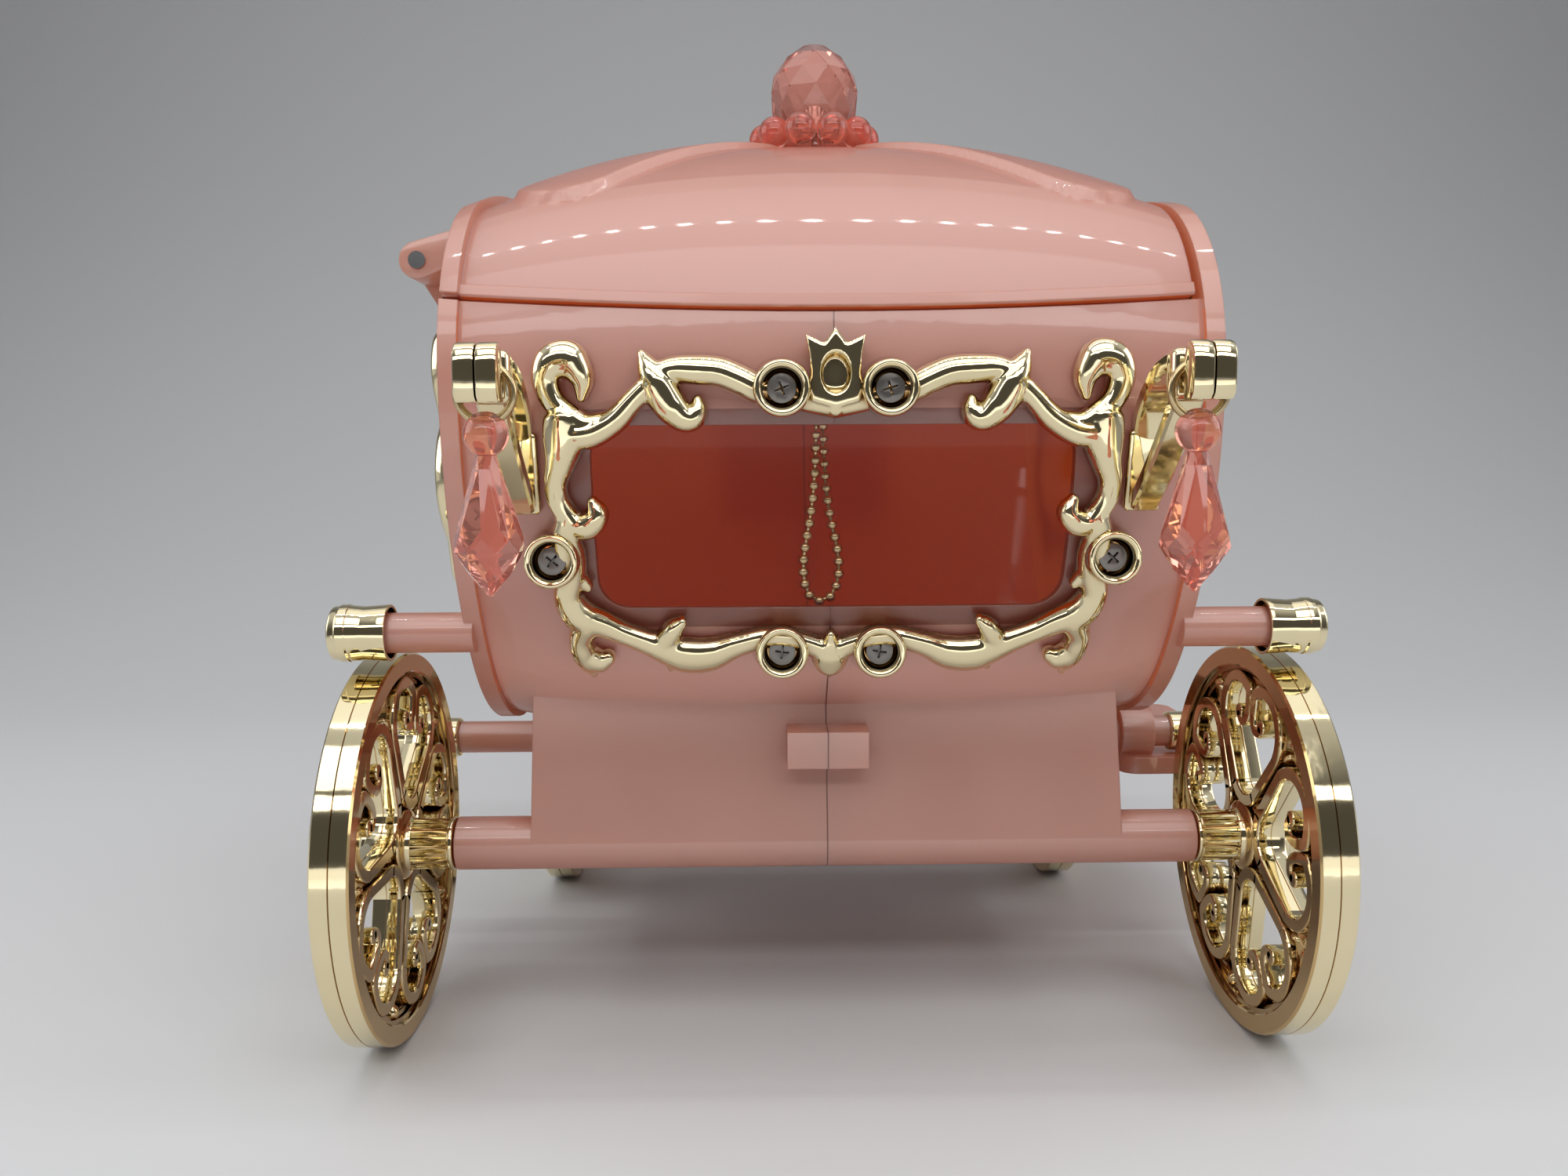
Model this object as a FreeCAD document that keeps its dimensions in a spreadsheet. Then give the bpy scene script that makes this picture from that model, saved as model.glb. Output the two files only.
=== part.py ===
import FreeCAD, Part
import math
import os
import Sketcher
from FreeCAD import Placement, Rotation, Vector

# A princess coach music box in pearl pink plastic with gold metallised trim.
# The origin is on the floor under the middle of the cabin.
# +X is the right side of the coach seen from its window end, +Y runs from the
# window end to the coachman's end and +Z is up. All sizes are millimetres.

doc = FreeCAD.newDocument("coach_music_box")
sizes = doc.addObject("Spreadsheet::Sheet", "sizes")

DRIVING_SIZES = {
    # cabin shell, a barrel that swells towards its middle
    "cabin_half_width": 62.0,
    "rim_width": 3.0,
    "rim_height": 1.6,
    "cabin_wall": 2.0,
    "side_half_length": 67.0,
    "crown_half_length": 70.0,
    "widest_height": 118.0,
    "side_top": 153.0,
    "crown_top": 166.5,
    "flank_place": 0.62,
    "flank_crown": 0.7,
    "side_bottom": 56.0,
    "crown_bottom": 51.0,
    "side_shoulder": 30.0,
    "crown_shoulder": 40.0,
    "belly_radius": 75.0,
    "belly_corner": 40.0,
    # lid and its hinge
    "split_height": 130.0,
    "split_dip": 2.5,
    "lid_gap": 0.5,
    "lid_side_gap": 1.2,
    "lip_height": 2.2,
    "lip_thickness": 0.8,
    "petal_thickness": 1.2,
    "petal_end_radius": 9.0,
    "petal_root_radius": 2.5,
    "hinge_offset": 10.0,
    "hinge_height": 140.0,
    "knuckle_radius": 3.0,
    "hinge_pin_radius": 1.5,
    "knuckle_inner": 19.0,
    "knuckle_joint": 30.0,
    "knuckle_outer": 41.0,
    "knuckle_gap": 0.3,
    "press_gap": 0.02,
    "running_gap": 0.06,
    # chassis box and axles
    "chassis_half_width": 53.4,
    "chassis_wall": 2.0,
    "axle_spacing": 87.0,
    "axle_tube_radius": 4.8,
    "axle_radius": 1.5,
    "apron_top_inset": 2.0,
    "apron_top_height": 65.0,
    "well_half_length": 36.0,
    "hitch_width": 14.5,
    "hitch_height": 6.6,
    "hitch_depth": 5.0,
    "hitch_bottom": 50.0,
    # wheels: large ones at the window end, small ones at the other end
    "rear_wheel_radius": 35.0,
    "rear_wheel_stand": 22.5,
    "rear_sleeve_length": 8.4,
    "front_wheel_radius": 27.0,
    "front_wheel_stand": 4.6,
    "front_sleeve_length": 2.5,
    "tread_width": 6.4,
    "wheel_rim": 3.6,
    "web_recess": 1.9,
    "band_recess": 0.6,
    "hub_radius": 6.5,
    "sleeve_radius": 4.8,
    "hub_cap_radius": 5.6,
    "hub_cap_height": 5.6,
    "stub_gap": 0.3,
    "heart_band": 2.4,
    "heart_groove": 0.8,
    "volute_radius": 1.9,
    "pearl_radius": 1.3,
    # rods with gold caps at the window end
    "rod_radius": 3.45,
    "rod_depth": 54.0,
    "rod_height": 75.4,
    "rod_cap_radius": 4.7,
    "rod_cap_inner": 75.0,
    "rod_cap_length": 10.0,
    "rod_cap_socket": 6.0,
    "rod_cap_clearance": 0.15,
    # step bars, their gold caps and the entry step on the right
    "step_bar_height": 45.0,
    "step_bar_radius": 3.4,
    "step_bar_reach": 77.0,
    "step_cap_radius": 4.2,
    "step_cap_length": 17.0,
    "step_tenon_radius": 2.5,
    "step_tenon_length": 7.0,
    "step_board_gap": 1.6,
    "step_board_top": 40.4,
    "step_board_thickness": 3.6,
    "step_board_start": -6.0,
    "step_board_length": 58.0,
    "step_eye_wall": 2.0,
    "step_eye_width": 7.0,
    # window, pane and gold frame
    "window_half_width": 38.6,
    "window_bottom": 80.0,
    "window_top": 110.0,
    "window_corner": 5.0,
    "pane_thickness": 1.2,
    "pane_lap": 4.0,
    "seat_gap": 0.1,
    "frame_thickness": 3.0,
    "eyelet_radius": 4.5,
    "eyelet_bore": 2.9,
    "eyelet_length": 5.5,
    "eyelet_ledge": 2.2,
    "screw_head_radius": 2.15,
    "screw_head_height": 1.5,
    "screw_radius": 1.2,
    "screw_length": 9.0,
    "screw_clearance": 0.1,
    # lamp brackets and their pendants
    "lamp_spread": 49.5,
    "strap_width": 5.9,
    "strap_inset": 0.8,
    "strap_thickness": 3.0,
    "lamp_reach": 98.0,
    "lamp_top": 120.0,
    "lamp_block_height": 9.0,
    "lamp_block_depth": 3.6,
    "neck_length": 4.8,
    "neck_radius": 1.6,
    "neck_height": 115.2,
    "ring_radius": 3.9,
    "ring_wire": 0.6,
    "ring_play": 0.3,
    "bead_radius": 3.15,
    "drop_radius": 4.95,
    "drop_length": 19.7,
    # gold frames on the cabin sides
    "side_frame_half_length": 50.0,
    "side_frame_bottom": 86.0,
    "side_frame_top": 116.0,
    "side_frame_bar": 1.8,
    "side_frame_thickness": 6.0,
    # coachman's bench
    "bench_half_width": 22.0,
    "bench_thickness": 3.0,
    "bench_top": 114.0,
    "bench_seat_height": 89.0,
    "bench_seat_reach": 86.0,
    "footboard_height": 62.0,
    # finial
    "finial_seat_radius": 8.5,
    "finial_seat_rise": 0.9,
    "finial_base_height": 3.0,
    "bead_ring_radius": 10.0,
    "ring_bead_radius": 3.5,
    "ball_radius": 9.3,
    "finial_ball_height": 19.3,
    "finial_screw_radius": 1.5,
    "finial_screw_head": 3.0,
    # lid chain
    "chain_radius": 0.95,
    "eye_radius": 1.5,
    "eye_wire": 0.5,
    "eye_cover": 0.5,
    # floor, bottom cover and movement
    "floor_height": 64.0,
    "floor_thickness": 2.0,
    "floor_gap": 0.25,
    "cover_thickness": 2.8,
    "cover_gap": 0.2,
    "post_size": 7.4,
    "post_height": 12.0,
    "cover_screw_inset": 4.0,
    "bedplate_length": 46.0,
    "bedplate_width": 38.0,
    "bedplate_thickness": 2.0,
    "barrel_radius": 11.0,
    "barrel_height": 12.0,
    "barrel_offset": 11.5,
    "barrel_lift": 0.8,
    "cylinder_radius": 6.5,
    "cylinder_length": 25.0,
    "cylinder_offset": 8.5,
    "cylinder_lift": 9.0,
    "arbor_radius": 1.0,
    "bearing_thickness": 2.2,
    "comb_length": 9.0,
    "comb_width": 23.4,
    "comb_thickness": 0.9,
    "comb_gap": 0.4,
    "comb_slot": 0.5,
    "governor_radius": 1.4,
    "governor_height": 13.0,
    "governor_offset": 16.0,
    "fan_span": 6.5,
    "fan_thickness": 0.5,
    "key_shaft_radius": 1.6,
    "key_width": 18.0,
    "key_height": 10.0,
    "key_thickness": 2.2,
    "key_drop": 4.0,
}

for row, (alias, value) in enumerate(DRIVING_SIZES.items(), start=1):
    sizes.set("A%d" % row, str(value))
    sizes.setAlias("A%d" % row, alias)
doc.recompute()

HEART_COUNT = 5
COMB_TEETH = 18
FINIAL_BEADS = 10
DROP_SIDES = 8
BALL_SIDES = 10

TURN_TO = {
    "+X": Rotation(Vector(0, 0, 1), Vector(1, 0, 0)),
    "-X": Rotation(Vector(0, 0, 1), Vector(-1, 0, 0)),
    "+Y": Rotation(Vector(0, 0, 1), Vector(0, 1, 0)),
    "-Y": Rotation(Vector(0, 0, 1), Vector(0, -1, 0)),
    "+Z": Rotation(),
    "-Z": Rotation(Vector(1, 0, 0), 180),
}
SIDES = {"left": -1, "right": 1}
sub_parts = []


# helpers for document objects

def keep(part, label):
    """Give a sub-part its own label and note it for export."""
    part.Label = label
    sub_parts.append(part)
    return part


def value_of(expression):
    return float(sizes.evalExpression(expression))


def plane_of(body, role):
    return next(plane for plane in body.Origin.OriginFeatures if plane.Role == role)


def place(part, spot, rotation=Rotation()):
    """Turn a part and bind its position to three expressions."""
    part.Placement = Placement(Vector(), rotation)
    for axis, expression in zip("xyz", spot):
        part.setExpression("Placement.Base." + axis, expression)


def new_sketch(body, name, role, lift="0"):
    sketch = body.newObject("Sketcher::SketchObject", name)
    sketch.AttachmentSupport = [(plane_of(body, role), "")]
    sketch.MapMode = "FlatFace"
    sketch.setExpression("AttachmentOffset.Base.z", lift)
    return sketch


def bound(sketch, kind, expression, *where):
    """Add a dimension to a sketch and bind it to an expression."""
    index = sketch.addConstraint(Sketcher.Constraint(kind, *where, value_of(expression)))
    sketch.setExpression("Constraints[%d]" % index, expression)


def add_outline(sketch, corners):
    """Draw a closed outline whose corners are pairs of expressions."""
    first = sketch.GeometryCount
    spots = [Vector(value_of(across), value_of(up), 0) for across, up in corners]
    count = len(corners)
    for index in range(count):
        sketch.addGeometry(Part.LineSegment(spots[index], spots[(index + 1) % count]))
    for index, (across, up) in enumerate(corners):
        line = first + index
        following = first + (index + 1) % count
        sketch.addConstraint(Sketcher.Constraint("Coincident", line, 2, following, 1))
        bound(sketch, "DistanceX", across, -1, 1, line, 1)
        bound(sketch, "DistanceY", up, -1, 1, line, 1)


def add_circle(sketch, radius, across="0", up="0"):
    centre = Vector(value_of(across), value_of(up), 0)
    index = sketch.addGeometry(Part.Circle(centre, Vector(0, 0, 1), value_of(radius)))
    bound(sketch, "DistanceX", across, -1, 1, index, 3)
    bound(sketch, "DistanceY", up, -1, 1, index, 3)
    bound(sketch, "Radius", radius, index)


def turned_body(name, corners):
    """Revolve an outline of (radius, height) expressions about the body's Z axis."""
    body = doc.addObject("PartDesign::Body", name)
    sketch = new_sketch(body, name + "_outline", "XZ_Plane")
    add_outline(sketch, corners)
    solid = body.newObject("PartDesign::Revolution", name + "_turned")
    solid.Profile = sketch
    solid.ReferenceAxis = (sketch, ["V_Axis"])
    solid.Angle = 360
    return body


def add_pad(body, sketch, length, reverse=False):
    pad = body.newObject("PartDesign::Pad", sketch.Name + "_pad")
    pad.Profile = sketch
    pad.setExpression("Length", length)
    pad.Reversed = reverse
    return pad


def add_pocket(body, sketch, depth=None, reverse=False):
    """Cut a pocket to a depth, or right through both ways where none is given."""
    pocket = body.newObject("PartDesign::Pocket", sketch.Name + "_pocket")
    pocket.Profile = sketch
    if depth is None:
        pocket.Type = "ThroughAll"
        pocket.Midplane = True
    else:
        pocket.setExpression("Length", depth)
        pocket.Reversed = reverse
    return pocket


def add_polar(body, feature, axis_sketch, count):
    pattern = body.newObject("PartDesign::PolarPattern", feature.Name + "_ring")
    pattern.Originals = [feature]
    pattern.Axis = (axis_sketch, ["N_Axis"])
    pattern.Angle = 360
    pattern.Occurrences = count
    body.Tip = pattern
    return pattern


def free_form(name, shape):
    part = doc.addObject("Part::Feature", name)
    part.Shape = shape
    return part


# helpers for curved shells and flat strokes

def box_between(low, high):
    span = [top - bottom for bottom, top in zip(low, high)]
    return Part.makeBox(*span, Vector(*low))


def rod_between(start, end, radius):
    start = Vector(*start)
    way = Vector(*end) - start
    return Part.makeCylinder(radius, way.Length, start, way)


def belt_outline(start, end, start_radius, end_radius):
    """Outline of a stroke: two round ends joined by their common tangents."""
    way = end - start
    heading = math.atan2(way.y, way.x)
    lean = math.acos((start_radius - end_radius) / way.Length)
    edges = []

    def on_circle(centre, radius, angle):
        return centre + Vector(math.cos(angle), math.sin(angle), 0) * radius

    start_left = on_circle(start, start_radius, heading + lean)
    start_right = on_circle(start, start_radius, heading - lean)
    start_back = on_circle(start, start_radius, heading + math.pi)
    end_left = on_circle(end, end_radius, heading + lean)
    end_right = on_circle(end, end_radius, heading - lean)
    end_tip = on_circle(end, end_radius, heading)
    edges.append(Part.Arc(start_left, start_back, start_right).toShape())
    edges.append(Part.LineSegment(start_right, end_right).toShape())
    edges.append(Part.Arc(end_right, end_tip, end_left).toShape())
    edges.append(Part.LineSegment(end_left, start_left).toShape())
    return Part.Wire(edges)


def stroke(points, depth):
    """Solids of a flat stroke through (x, y, radius) points, from Z 0 up to depth."""
    solids = []
    for (x_from, y_from, r_from), (x_to, y_to, r_to) in zip(points, points[1:]):
        wire = belt_outline(Vector(x_from, y_from, 0), Vector(x_to, y_to, 0), r_from, r_to)
        solids.append(Part.Face(wire).extrude(Vector(0, 0, depth)))
    return solids


def joined(solids):
    return solids[0].multiFuse(solids[1:]).removeSplitter()


def stood_up(shape, facing):
    """Stand a flat shape up so that its Y becomes Z and its depth runs along facing."""
    across = Vector(0, 0, 1).cross(facing)
    standing = shape.copy()
    standing.Placement = Placement(Vector(), Rotation(across, Vector(0, 0, 1), facing, "ZYX"))
    return standing


def mirrored_across(shape, normal):
    return shape.mirror(Vector(), normal)


def cabin_arcs(crown, grow):
    """Centres and radii of the cabin's side outline, from the rim (0) to the middle (1)."""
    def between(side, middle):
        return side + (middle - side) * crown

    half_length = between(sizes.side_half_length, sizes.crown_half_length)
    top = between(sizes.side_top, sizes.crown_top)
    bottom = between(sizes.side_bottom, sizes.crown_bottom)
    shoulder = between(sizes.side_shoulder, sizes.crown_shoulder)
    widest = sizes.widest_height
    rise = top - widest
    shoulder_y = half_length - shoulder
    top_radius = (shoulder_y ** 2 + rise ** 2 - shoulder ** 2) / (2 * (rise - shoulder))
    belly_y = half_length - sizes.belly_radius
    corner_z = bottom + sizes.belly_corner
    reach = sizes.belly_radius - sizes.belly_corner
    corner_y = belly_y + math.sqrt(reach ** 2 - (corner_z - widest) ** 2)
    return {
        "corner": (corner_y, corner_z, sizes.belly_corner + grow),
        "belly": (belly_y, widest, sizes.belly_radius + grow),
        "shoulder": (shoulder_y, widest, shoulder + grow),
        "top": (0.0, top - top_radius, top_radius + grow),
    }


def cabin_section(x, crown, grow):
    """Closed outline of the cabin at one X, of tangent arcs and a flat bottom."""
    arcs = cabin_arcs(crown, grow)
    corner_y, corner_z, _ = arcs["corner"]
    belly_y, belly_z, _ = arcs["belly"]
    shoulder_y, shoulder_z, _ = arcs["shoulder"]
    top_y, top_z, _ = arcs["top"]
    corner_turn = math.atan2(corner_z - belly_z, corner_y - belly_y)
    shoulder_turn = math.atan2(shoulder_z - top_z, shoulder_y - top_y)
    half = [
        ("corner", -math.pi / 2, corner_turn),
        ("belly", corner_turn, 0.0),
        ("shoulder", 0.0, shoulder_turn),
    ]

    def arc_edge(name, start, end, side):
        centre_y, centre_z, radius = arcs[name]

        def spot(angle):
            y = centre_y + radius * math.cos(angle)
            return Vector(x, side * y, centre_z + radius * math.sin(angle))

        return Part.Arc(spot(start), spot((start + end) / 2), spot(end)).toShape()

    near = [arc_edge(*piece, 1) for piece in half]
    far = [arc_edge(name, end, start, -1) for name, start, end in reversed(half)]
    roof = arc_edge("top", shoulder_turn, math.pi - shoulder_turn, 1)
    bottom_z = corner_z - arcs["corner"][2]
    floor = Part.LineSegment(Vector(x, -corner_y, bottom_z), Vector(x, corner_y, bottom_z))
    return Part.Wire([floor.toShape()] + near + [roof] + far)


def cabin_block(grow):
    """Solid barrel of the cabin, its outside moved out by grow."""
    width = sizes.cabin_half_width
    flank = width * sizes.flank_place
    stations = [(-width, 0), (-flank, sizes.flank_crown), (0, 1), (flank, sizes.flank_crown), (width, 0)]
    return Part.makeLoft([cabin_section(x, crown, grow) for x, crown in stations], True, False)


def crown_at(x):
    """How far the cabin's outline has swollen at one X, from the rim (0) to the middle (1)."""
    swell = math.log(1 - sizes.flank_crown) / math.log(sizes.flank_place)
    return 1 - abs(x / sizes.cabin_half_width) ** swell


def roof_height(x, y):
    """Height of the cabin's outside over one spot of the roof."""
    arcs = cabin_arcs(crown_at(x), 0.0)
    shoulder_y, shoulder_z, shoulder_radius = arcs["shoulder"]
    _, top_z, top_radius = arcs["top"]
    touch_y = top_radius * math.cos(math.atan2(shoulder_z - top_z, shoulder_y))
    if abs(y) < touch_y:
        return top_z + math.sqrt(top_radius ** 2 - y ** 2)
    return shoulder_z + math.sqrt(shoulder_radius ** 2 - (abs(y) - shoulder_y) ** 2)


def wall_depth(x, z, grow=0.0):
    """Distance of the cabin's end wall from X Z plane at one spot of the belly or shoulder."""
    arcs = cabin_arcs(crown_at(x), grow)
    centre_y, centre_z, radius = arcs["belly"] if z < sizes.widest_height else arcs["shoulder"]
    return centre_y + math.sqrt(radius ** 2 - (z - centre_z) ** 2)


def wall_layer(inner, outer):
    return cabin_block(outer).cut(cabin_block(inner))


# cabin, chassis and lid blanks

half_width = sizes.cabin_half_width
inner_width = half_width - sizes.rim_width
axle_y = sizes.axle_spacing / 2
rear_axle_spot = (-axle_y, sizes.rear_wheel_radius)
front_axle_spot = (axle_y, sizes.front_wheel_radius)
chassis_bottom = sizes.rear_wheel_radius - sizes.axle_tube_radius
hinge_x = -half_width - sizes.hinge_offset
FAR = 400.0

outer_cabin = cabin_block(0)
cavity = cabin_block(-sizes.cabin_wall).common(
    box_between((-inner_width, -FAR, -FAR), (inner_width, FAR, FAR)))


def side_plate(side):
    face = Part.Face(cabin_section(side * inner_width, 0, sizes.rim_height))
    return face.extrude(Vector(side * sizes.rim_width, 0, 0))


shell = outer_cabin.multiFuse([side_plate(-1), side_plate(1)]).cut(cavity)


def lid_zone(gap, right_edge):
    """Space above the dipping split, moved up by gap and ending at right_edge."""
    dip = sizes.split_dip
    radius = (half_width ** 2 + dip ** 2) / (2 * dip)
    centre = Vector(0, -FAR, sizes.split_height - dip + radius)
    barrel = Part.makeCylinder(radius - gap, 2 * FAR, centre, Vector(0, 1, 0))
    return barrel.common(box_between((-FAR, -FAR, 0), (right_edge, FAR, FAR)))


def apron_profile():
    """Side outline of the chassis box, its rear wall sloping down to the axle tube."""
    centre_y, centre_z = rear_axle_spot
    radius = sizes.axle_tube_radius
    top_y = centre_y + sizes.apron_top_inset
    top_z = sizes.apron_top_height
    slant = math.atan2(top_z - centre_z, top_y - centre_y)
    reach = math.hypot(top_z - centre_z, top_y - centre_y)
    tangent = slant + math.acos(radius / reach)

    def on_tube(angle):
        return Vector(0, centre_y + radius * math.cos(angle), centre_z + radius * math.sin(angle))

    bottom_angle = 1.5 * math.pi
    front_y = axle_y + radius
    spots = [Vector(0, top_y, top_z), on_tube(tangent), on_tube(bottom_angle),
             Vector(0, front_y, centre_z - radius), Vector(0, -top_y, top_z)]
    round_edge = Part.Arc(spots[1], on_tube((tangent + bottom_angle) / 2), spots[2]).toShape()
    edges = [Part.LineSegment(spots[0], spots[1]).toShape(), round_edge]
    for start, end in zip(spots[2:], spots[3:] + spots[:1]):
        edges.append(Part.LineSegment(start, end).toShape())
    return Part.Wire(edges)


def chassis_box():
    width = sizes.chassis_half_width
    box = Part.Face(apron_profile()).extrude(Vector(2 * width, 0, 0))
    box.translate(Vector(-width, 0, 0))
    radius = sizes.axle_tube_radius
    front_y, front_z = front_axle_spot
    lug = rod_between((-width, front_y, front_z), (width, front_y, front_z), radius)
    web = box_between((-width, front_y - radius, front_z),
                      (width, front_y + radius, chassis_bottom + radius))
    hitch_y = -axle_y - sizes.axle_tube_radius / 2
    hitch = box_between((-sizes.hitch_width / 2, hitch_y - sizes.hitch_depth, sizes.hitch_bottom),
                        (sizes.hitch_width / 2, hitch_y + sizes.hitch_depth,
                         sizes.hitch_bottom + sizes.hitch_height))
    return [box, lug, web, hitch]


def wheel_inner(end):
    """Inner face of a wheel, from the coach's middle plane."""
    return "(sizes.chassis_half_width + sizes.%s_wheel_stand)" % end


def side_limbs(side):
    """Axle stubs, capped rod and step bar that stand out of one side of the moulding."""
    limbs = []
    root = sizes.chassis_half_width - sizes.chassis_wall
    wheels = {
        "rear": (rear_axle_spot, value_of(wheel_inner("rear")) - sizes.rear_sleeve_length),
        "front": (front_axle_spot, value_of(wheel_inner("front")) - sizes.front_sleeve_length),
    }
    for (y, z), sleeve_end in wheels.values():
        limbs.append(rod_between((side * root, y, z), (side * (sleeve_end - sizes.stub_gap), y, z),
                                 sizes.axle_tube_radius))
    rod_end = sizes.rod_cap_inner + sizes.rod_cap_socket
    limbs.append(rod_between((side * (half_width - sizes.rim_width / 2), -sizes.rod_depth, sizes.rod_height),
                             (side * rod_end, -sizes.rod_depth, sizes.rod_height), sizes.rod_radius))
    bar_z = sizes.step_bar_height
    tenon_end = sizes.step_bar_reach + sizes.step_tenon_length
    limbs.append(rod_between((side * root, 0, bar_z), (side * sizes.step_bar_reach, 0, bar_z),
                             sizes.step_bar_radius))
    limbs.append(rod_between((side * sizes.step_bar_reach, 0, bar_z), (side * tenon_end, 0, bar_z),
                             sizes.step_tenon_radius))
    return limbs


def knuckles(inner, outer, root_x, root_z, root_radius, bore_gap):
    """Pair of hinge knuckles with arms that run to one root, bored for the pin."""
    outline = belt_outline(Vector(hinge_x, sizes.hinge_height, 0), Vector(root_x, root_z, 0),
                           sizes.knuckle_radius, root_radius)
    arm = stood_up(Part.Face(outline).extrude(Vector(0, 0, outer - inner)), Vector(0, -1, 0))
    arms = []
    for start in (-inner, outer):
        one = arm.copy()
        one.translate(Vector(0, start, 0))
        arms.append(one)
    bore = rod_between((hinge_x, -FAR, sizes.hinge_height), (hinge_x, FAR, sizes.hinge_height),
                       sizes.hinge_pin_radius + bore_gap)
    return arms, bore


def body_moulding():
    """Cabin and chassis in one piece, before it is parted into two halves."""
    arms, hinge_bore = knuckles(sizes.knuckle_inner, sizes.knuckle_joint - sizes.knuckle_gap,
                                -half_width, sizes.split_height - 8, 2.0, sizes.press_gap)
    blank = outer_cabin.multiFuse([side_plate(-1), side_plate(1)] + chassis_box()
                                  + side_limbs(-1) + side_limbs(1))
    well_width = sizes.chassis_half_width - sizes.chassis_wall
    well_length = sizes.well_half_length
    well = box_between((-well_width, -well_length, 0), (well_width, well_length, sizes.floor_height))
    blank = blank.cut(cavity).cut(well).cut(lid_zone(0, inner_width))
    blank = blank.multiFuse(arms)
    posts = []
    post_bottom = chassis_bottom + sizes.cover_thickness
    for x in (-1, 1):
        for y in (-1, 1):
            corner = Vector(x * well_width, y * well_length, post_bottom)
            post = Part.makeBox(sizes.post_size, sizes.post_size, sizes.post_height)
            post.translate(Vector(corner.x - (sizes.post_size if x > 0 else 0),
                                  corner.y - (sizes.post_size if y > 0 else 0), post_bottom))
            posts.append(post)
    blank = blank.multiFuse(posts)
    cuts = [hinge_bore, window_prism(0)] + screw_holes()
    for x, y in cover_screw_spots():
        cuts.append(rod_between((x, y, 0), (x, y, post_bottom + sizes.post_height - 2),
                                sizes.screw_radius + sizes.screw_clearance))
    for y, z in (rear_axle_spot, front_axle_spot):
        cuts.append(rod_between((-FAR, y, z), (FAR, y, z), sizes.axle_radius + sizes.running_gap))
    chain_start = chain_points()[0]
    eye_z = chain_start.z + sizes.eye_radius + sizes.eye_wire
    eye_end = sizes.eye_cover - wall_depth(chain_start.x, eye_z)
    cuts.append(rod_between((chain_start.x, eye_end, eye_z), (chain_start.x, 0, eye_z),
                            sizes.eye_wire + sizes.press_gap))
    return blank.cut(cuts)


def window_prism(grow):
    """Rounded window opening, cut through the wall at the window end."""
    corner = sizes.window_corner + grow
    wide = sizes.window_half_width + grow - corner
    low = sizes.window_bottom - grow + corner
    high = sizes.window_top + grow - corner
    ring = [(-wide, low, corner), (wide, low, corner), (wide, high, corner),
            (-wide, high, corner), (-wide, low, corner)]
    block = joined(stroke(ring, FAR) + [box_between((-wide, low, 0), (wide, high, FAR))])
    return stood_up(block, Vector(0, -1, 0))


def frame_screw_spots():
    """Places of the six eyelets round the window, as X and Z."""
    spots = []
    for side in (-1, 1):
        spots.append((side * 8.4, 115.3))
        spots.append((side * 45.0, 88.6))
        spots.append((side * 8.2, 72.4))
    return spots


def screw_holes():
    holes = []
    for x, z in frame_screw_spots():
        holes.append(rod_between((x, -FAR, z), (x, 0, z), sizes.screw_radius + sizes.screw_clearance))
    return holes


def cover_screw_spots():
    x = sizes.chassis_half_width - sizes.chassis_wall - sizes.cover_screw_inset
    y = sizes.well_half_length - sizes.cover_screw_inset
    return [(-x, -y), (x, -y), (x, y), (-x, y)]


def chain_points():
    """Route of the lid chain: down from the wall, round a narrow loop and up to the lid."""
    return [Vector(-2.3, -60.0, 121.5), Vector(-2.3, -59.0, 108.0), Vector(-2.9, -57.8, 97.0),
            Vector(-4.9, -56.6, 86.5), Vector(-3.6, -55.6, 80.6), Vector(0.4, -55.0, 80.4),
            Vector(2.2, -54.2, 86.5), Vector(-0.4, -53.2, 97.0), Vector(-1.0, -52.2, 110.0),
            Vector(-1.0, -51.4, 124.0), Vector(-1.0, -51.0, 138.0)]


moulding = body_moulding()
for side_name, side in SIDES.items():
    half_space = box_between((min(0, side * FAR), -FAR, -FAR), (max(0, side * FAR), FAR, FAR))
    keep(free_form("body_shell_" + side_name, moulding.common(half_space)), "body_shell_" + side_name)


# lid with lip, petals, finial seat and hinge knuckles

def lid_moulding():
    right_edge = inner_width - sizes.lid_side_gap
    zone = lid_zone(sizes.lid_gap, right_edge)
    roof = shell.common(zone)
    lip_zone = zone.cut(lid_zone(sizes.lid_gap + sizes.lip_height, FAR))
    lip_zone = lip_zone.common(box_between((-inner_width, -FAR, 0), (FAR, FAR, FAR)))
    lip = wall_layer(-sizes.cabin_wall / 2, sizes.lip_thickness).common(lip_zone)
    petal_layer = wall_layer(-sizes.cabin_wall / 2, sizes.petal_thickness)
    petals = []
    for x in (-1, 1):
        for y in (-1, 1):
            outline = [(x * 10.0, y * 9.0, sizes.petal_root_radius),
                       (x * 44.0, y * 36.0, sizes.petal_end_radius)]
            petals += stroke(outline, FAR)
    relief = petal_layer.common(petals[0].multiFuse(petals[1:])).common(zone)
    seat_top = sizes.crown_top + sizes.finial_seat_rise
    seat = rod_between((0, 0, sizes.crown_top - sizes.cabin_wall - 1), (0, 0, seat_top),
                       sizes.finial_seat_radius)
    arms, hinge_bore = knuckles(sizes.knuckle_joint, sizes.knuckle_outer, -half_width + 1,
                                sizes.hinge_height + 4, 2.2, sizes.running_gap)
    lid = roof.multiFuse([lip, relief, seat] + arms)
    screw = rod_between((0, 0, 0), (0, 0, FAR), sizes.finial_screw_radius + sizes.screw_clearance)
    chain_end = chain_points()[-1]
    eye_top = roof_height(chain_end.x, chain_end.y) - sizes.eye_cover
    eye = rod_between(chain_end, (chain_end.x, chain_end.y, eye_top), sizes.eye_wire + sizes.press_gap)
    return lid.cut([hinge_bore, screw, eye])


keep(free_form("lid", lid_moulding()), "lid")


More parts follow.
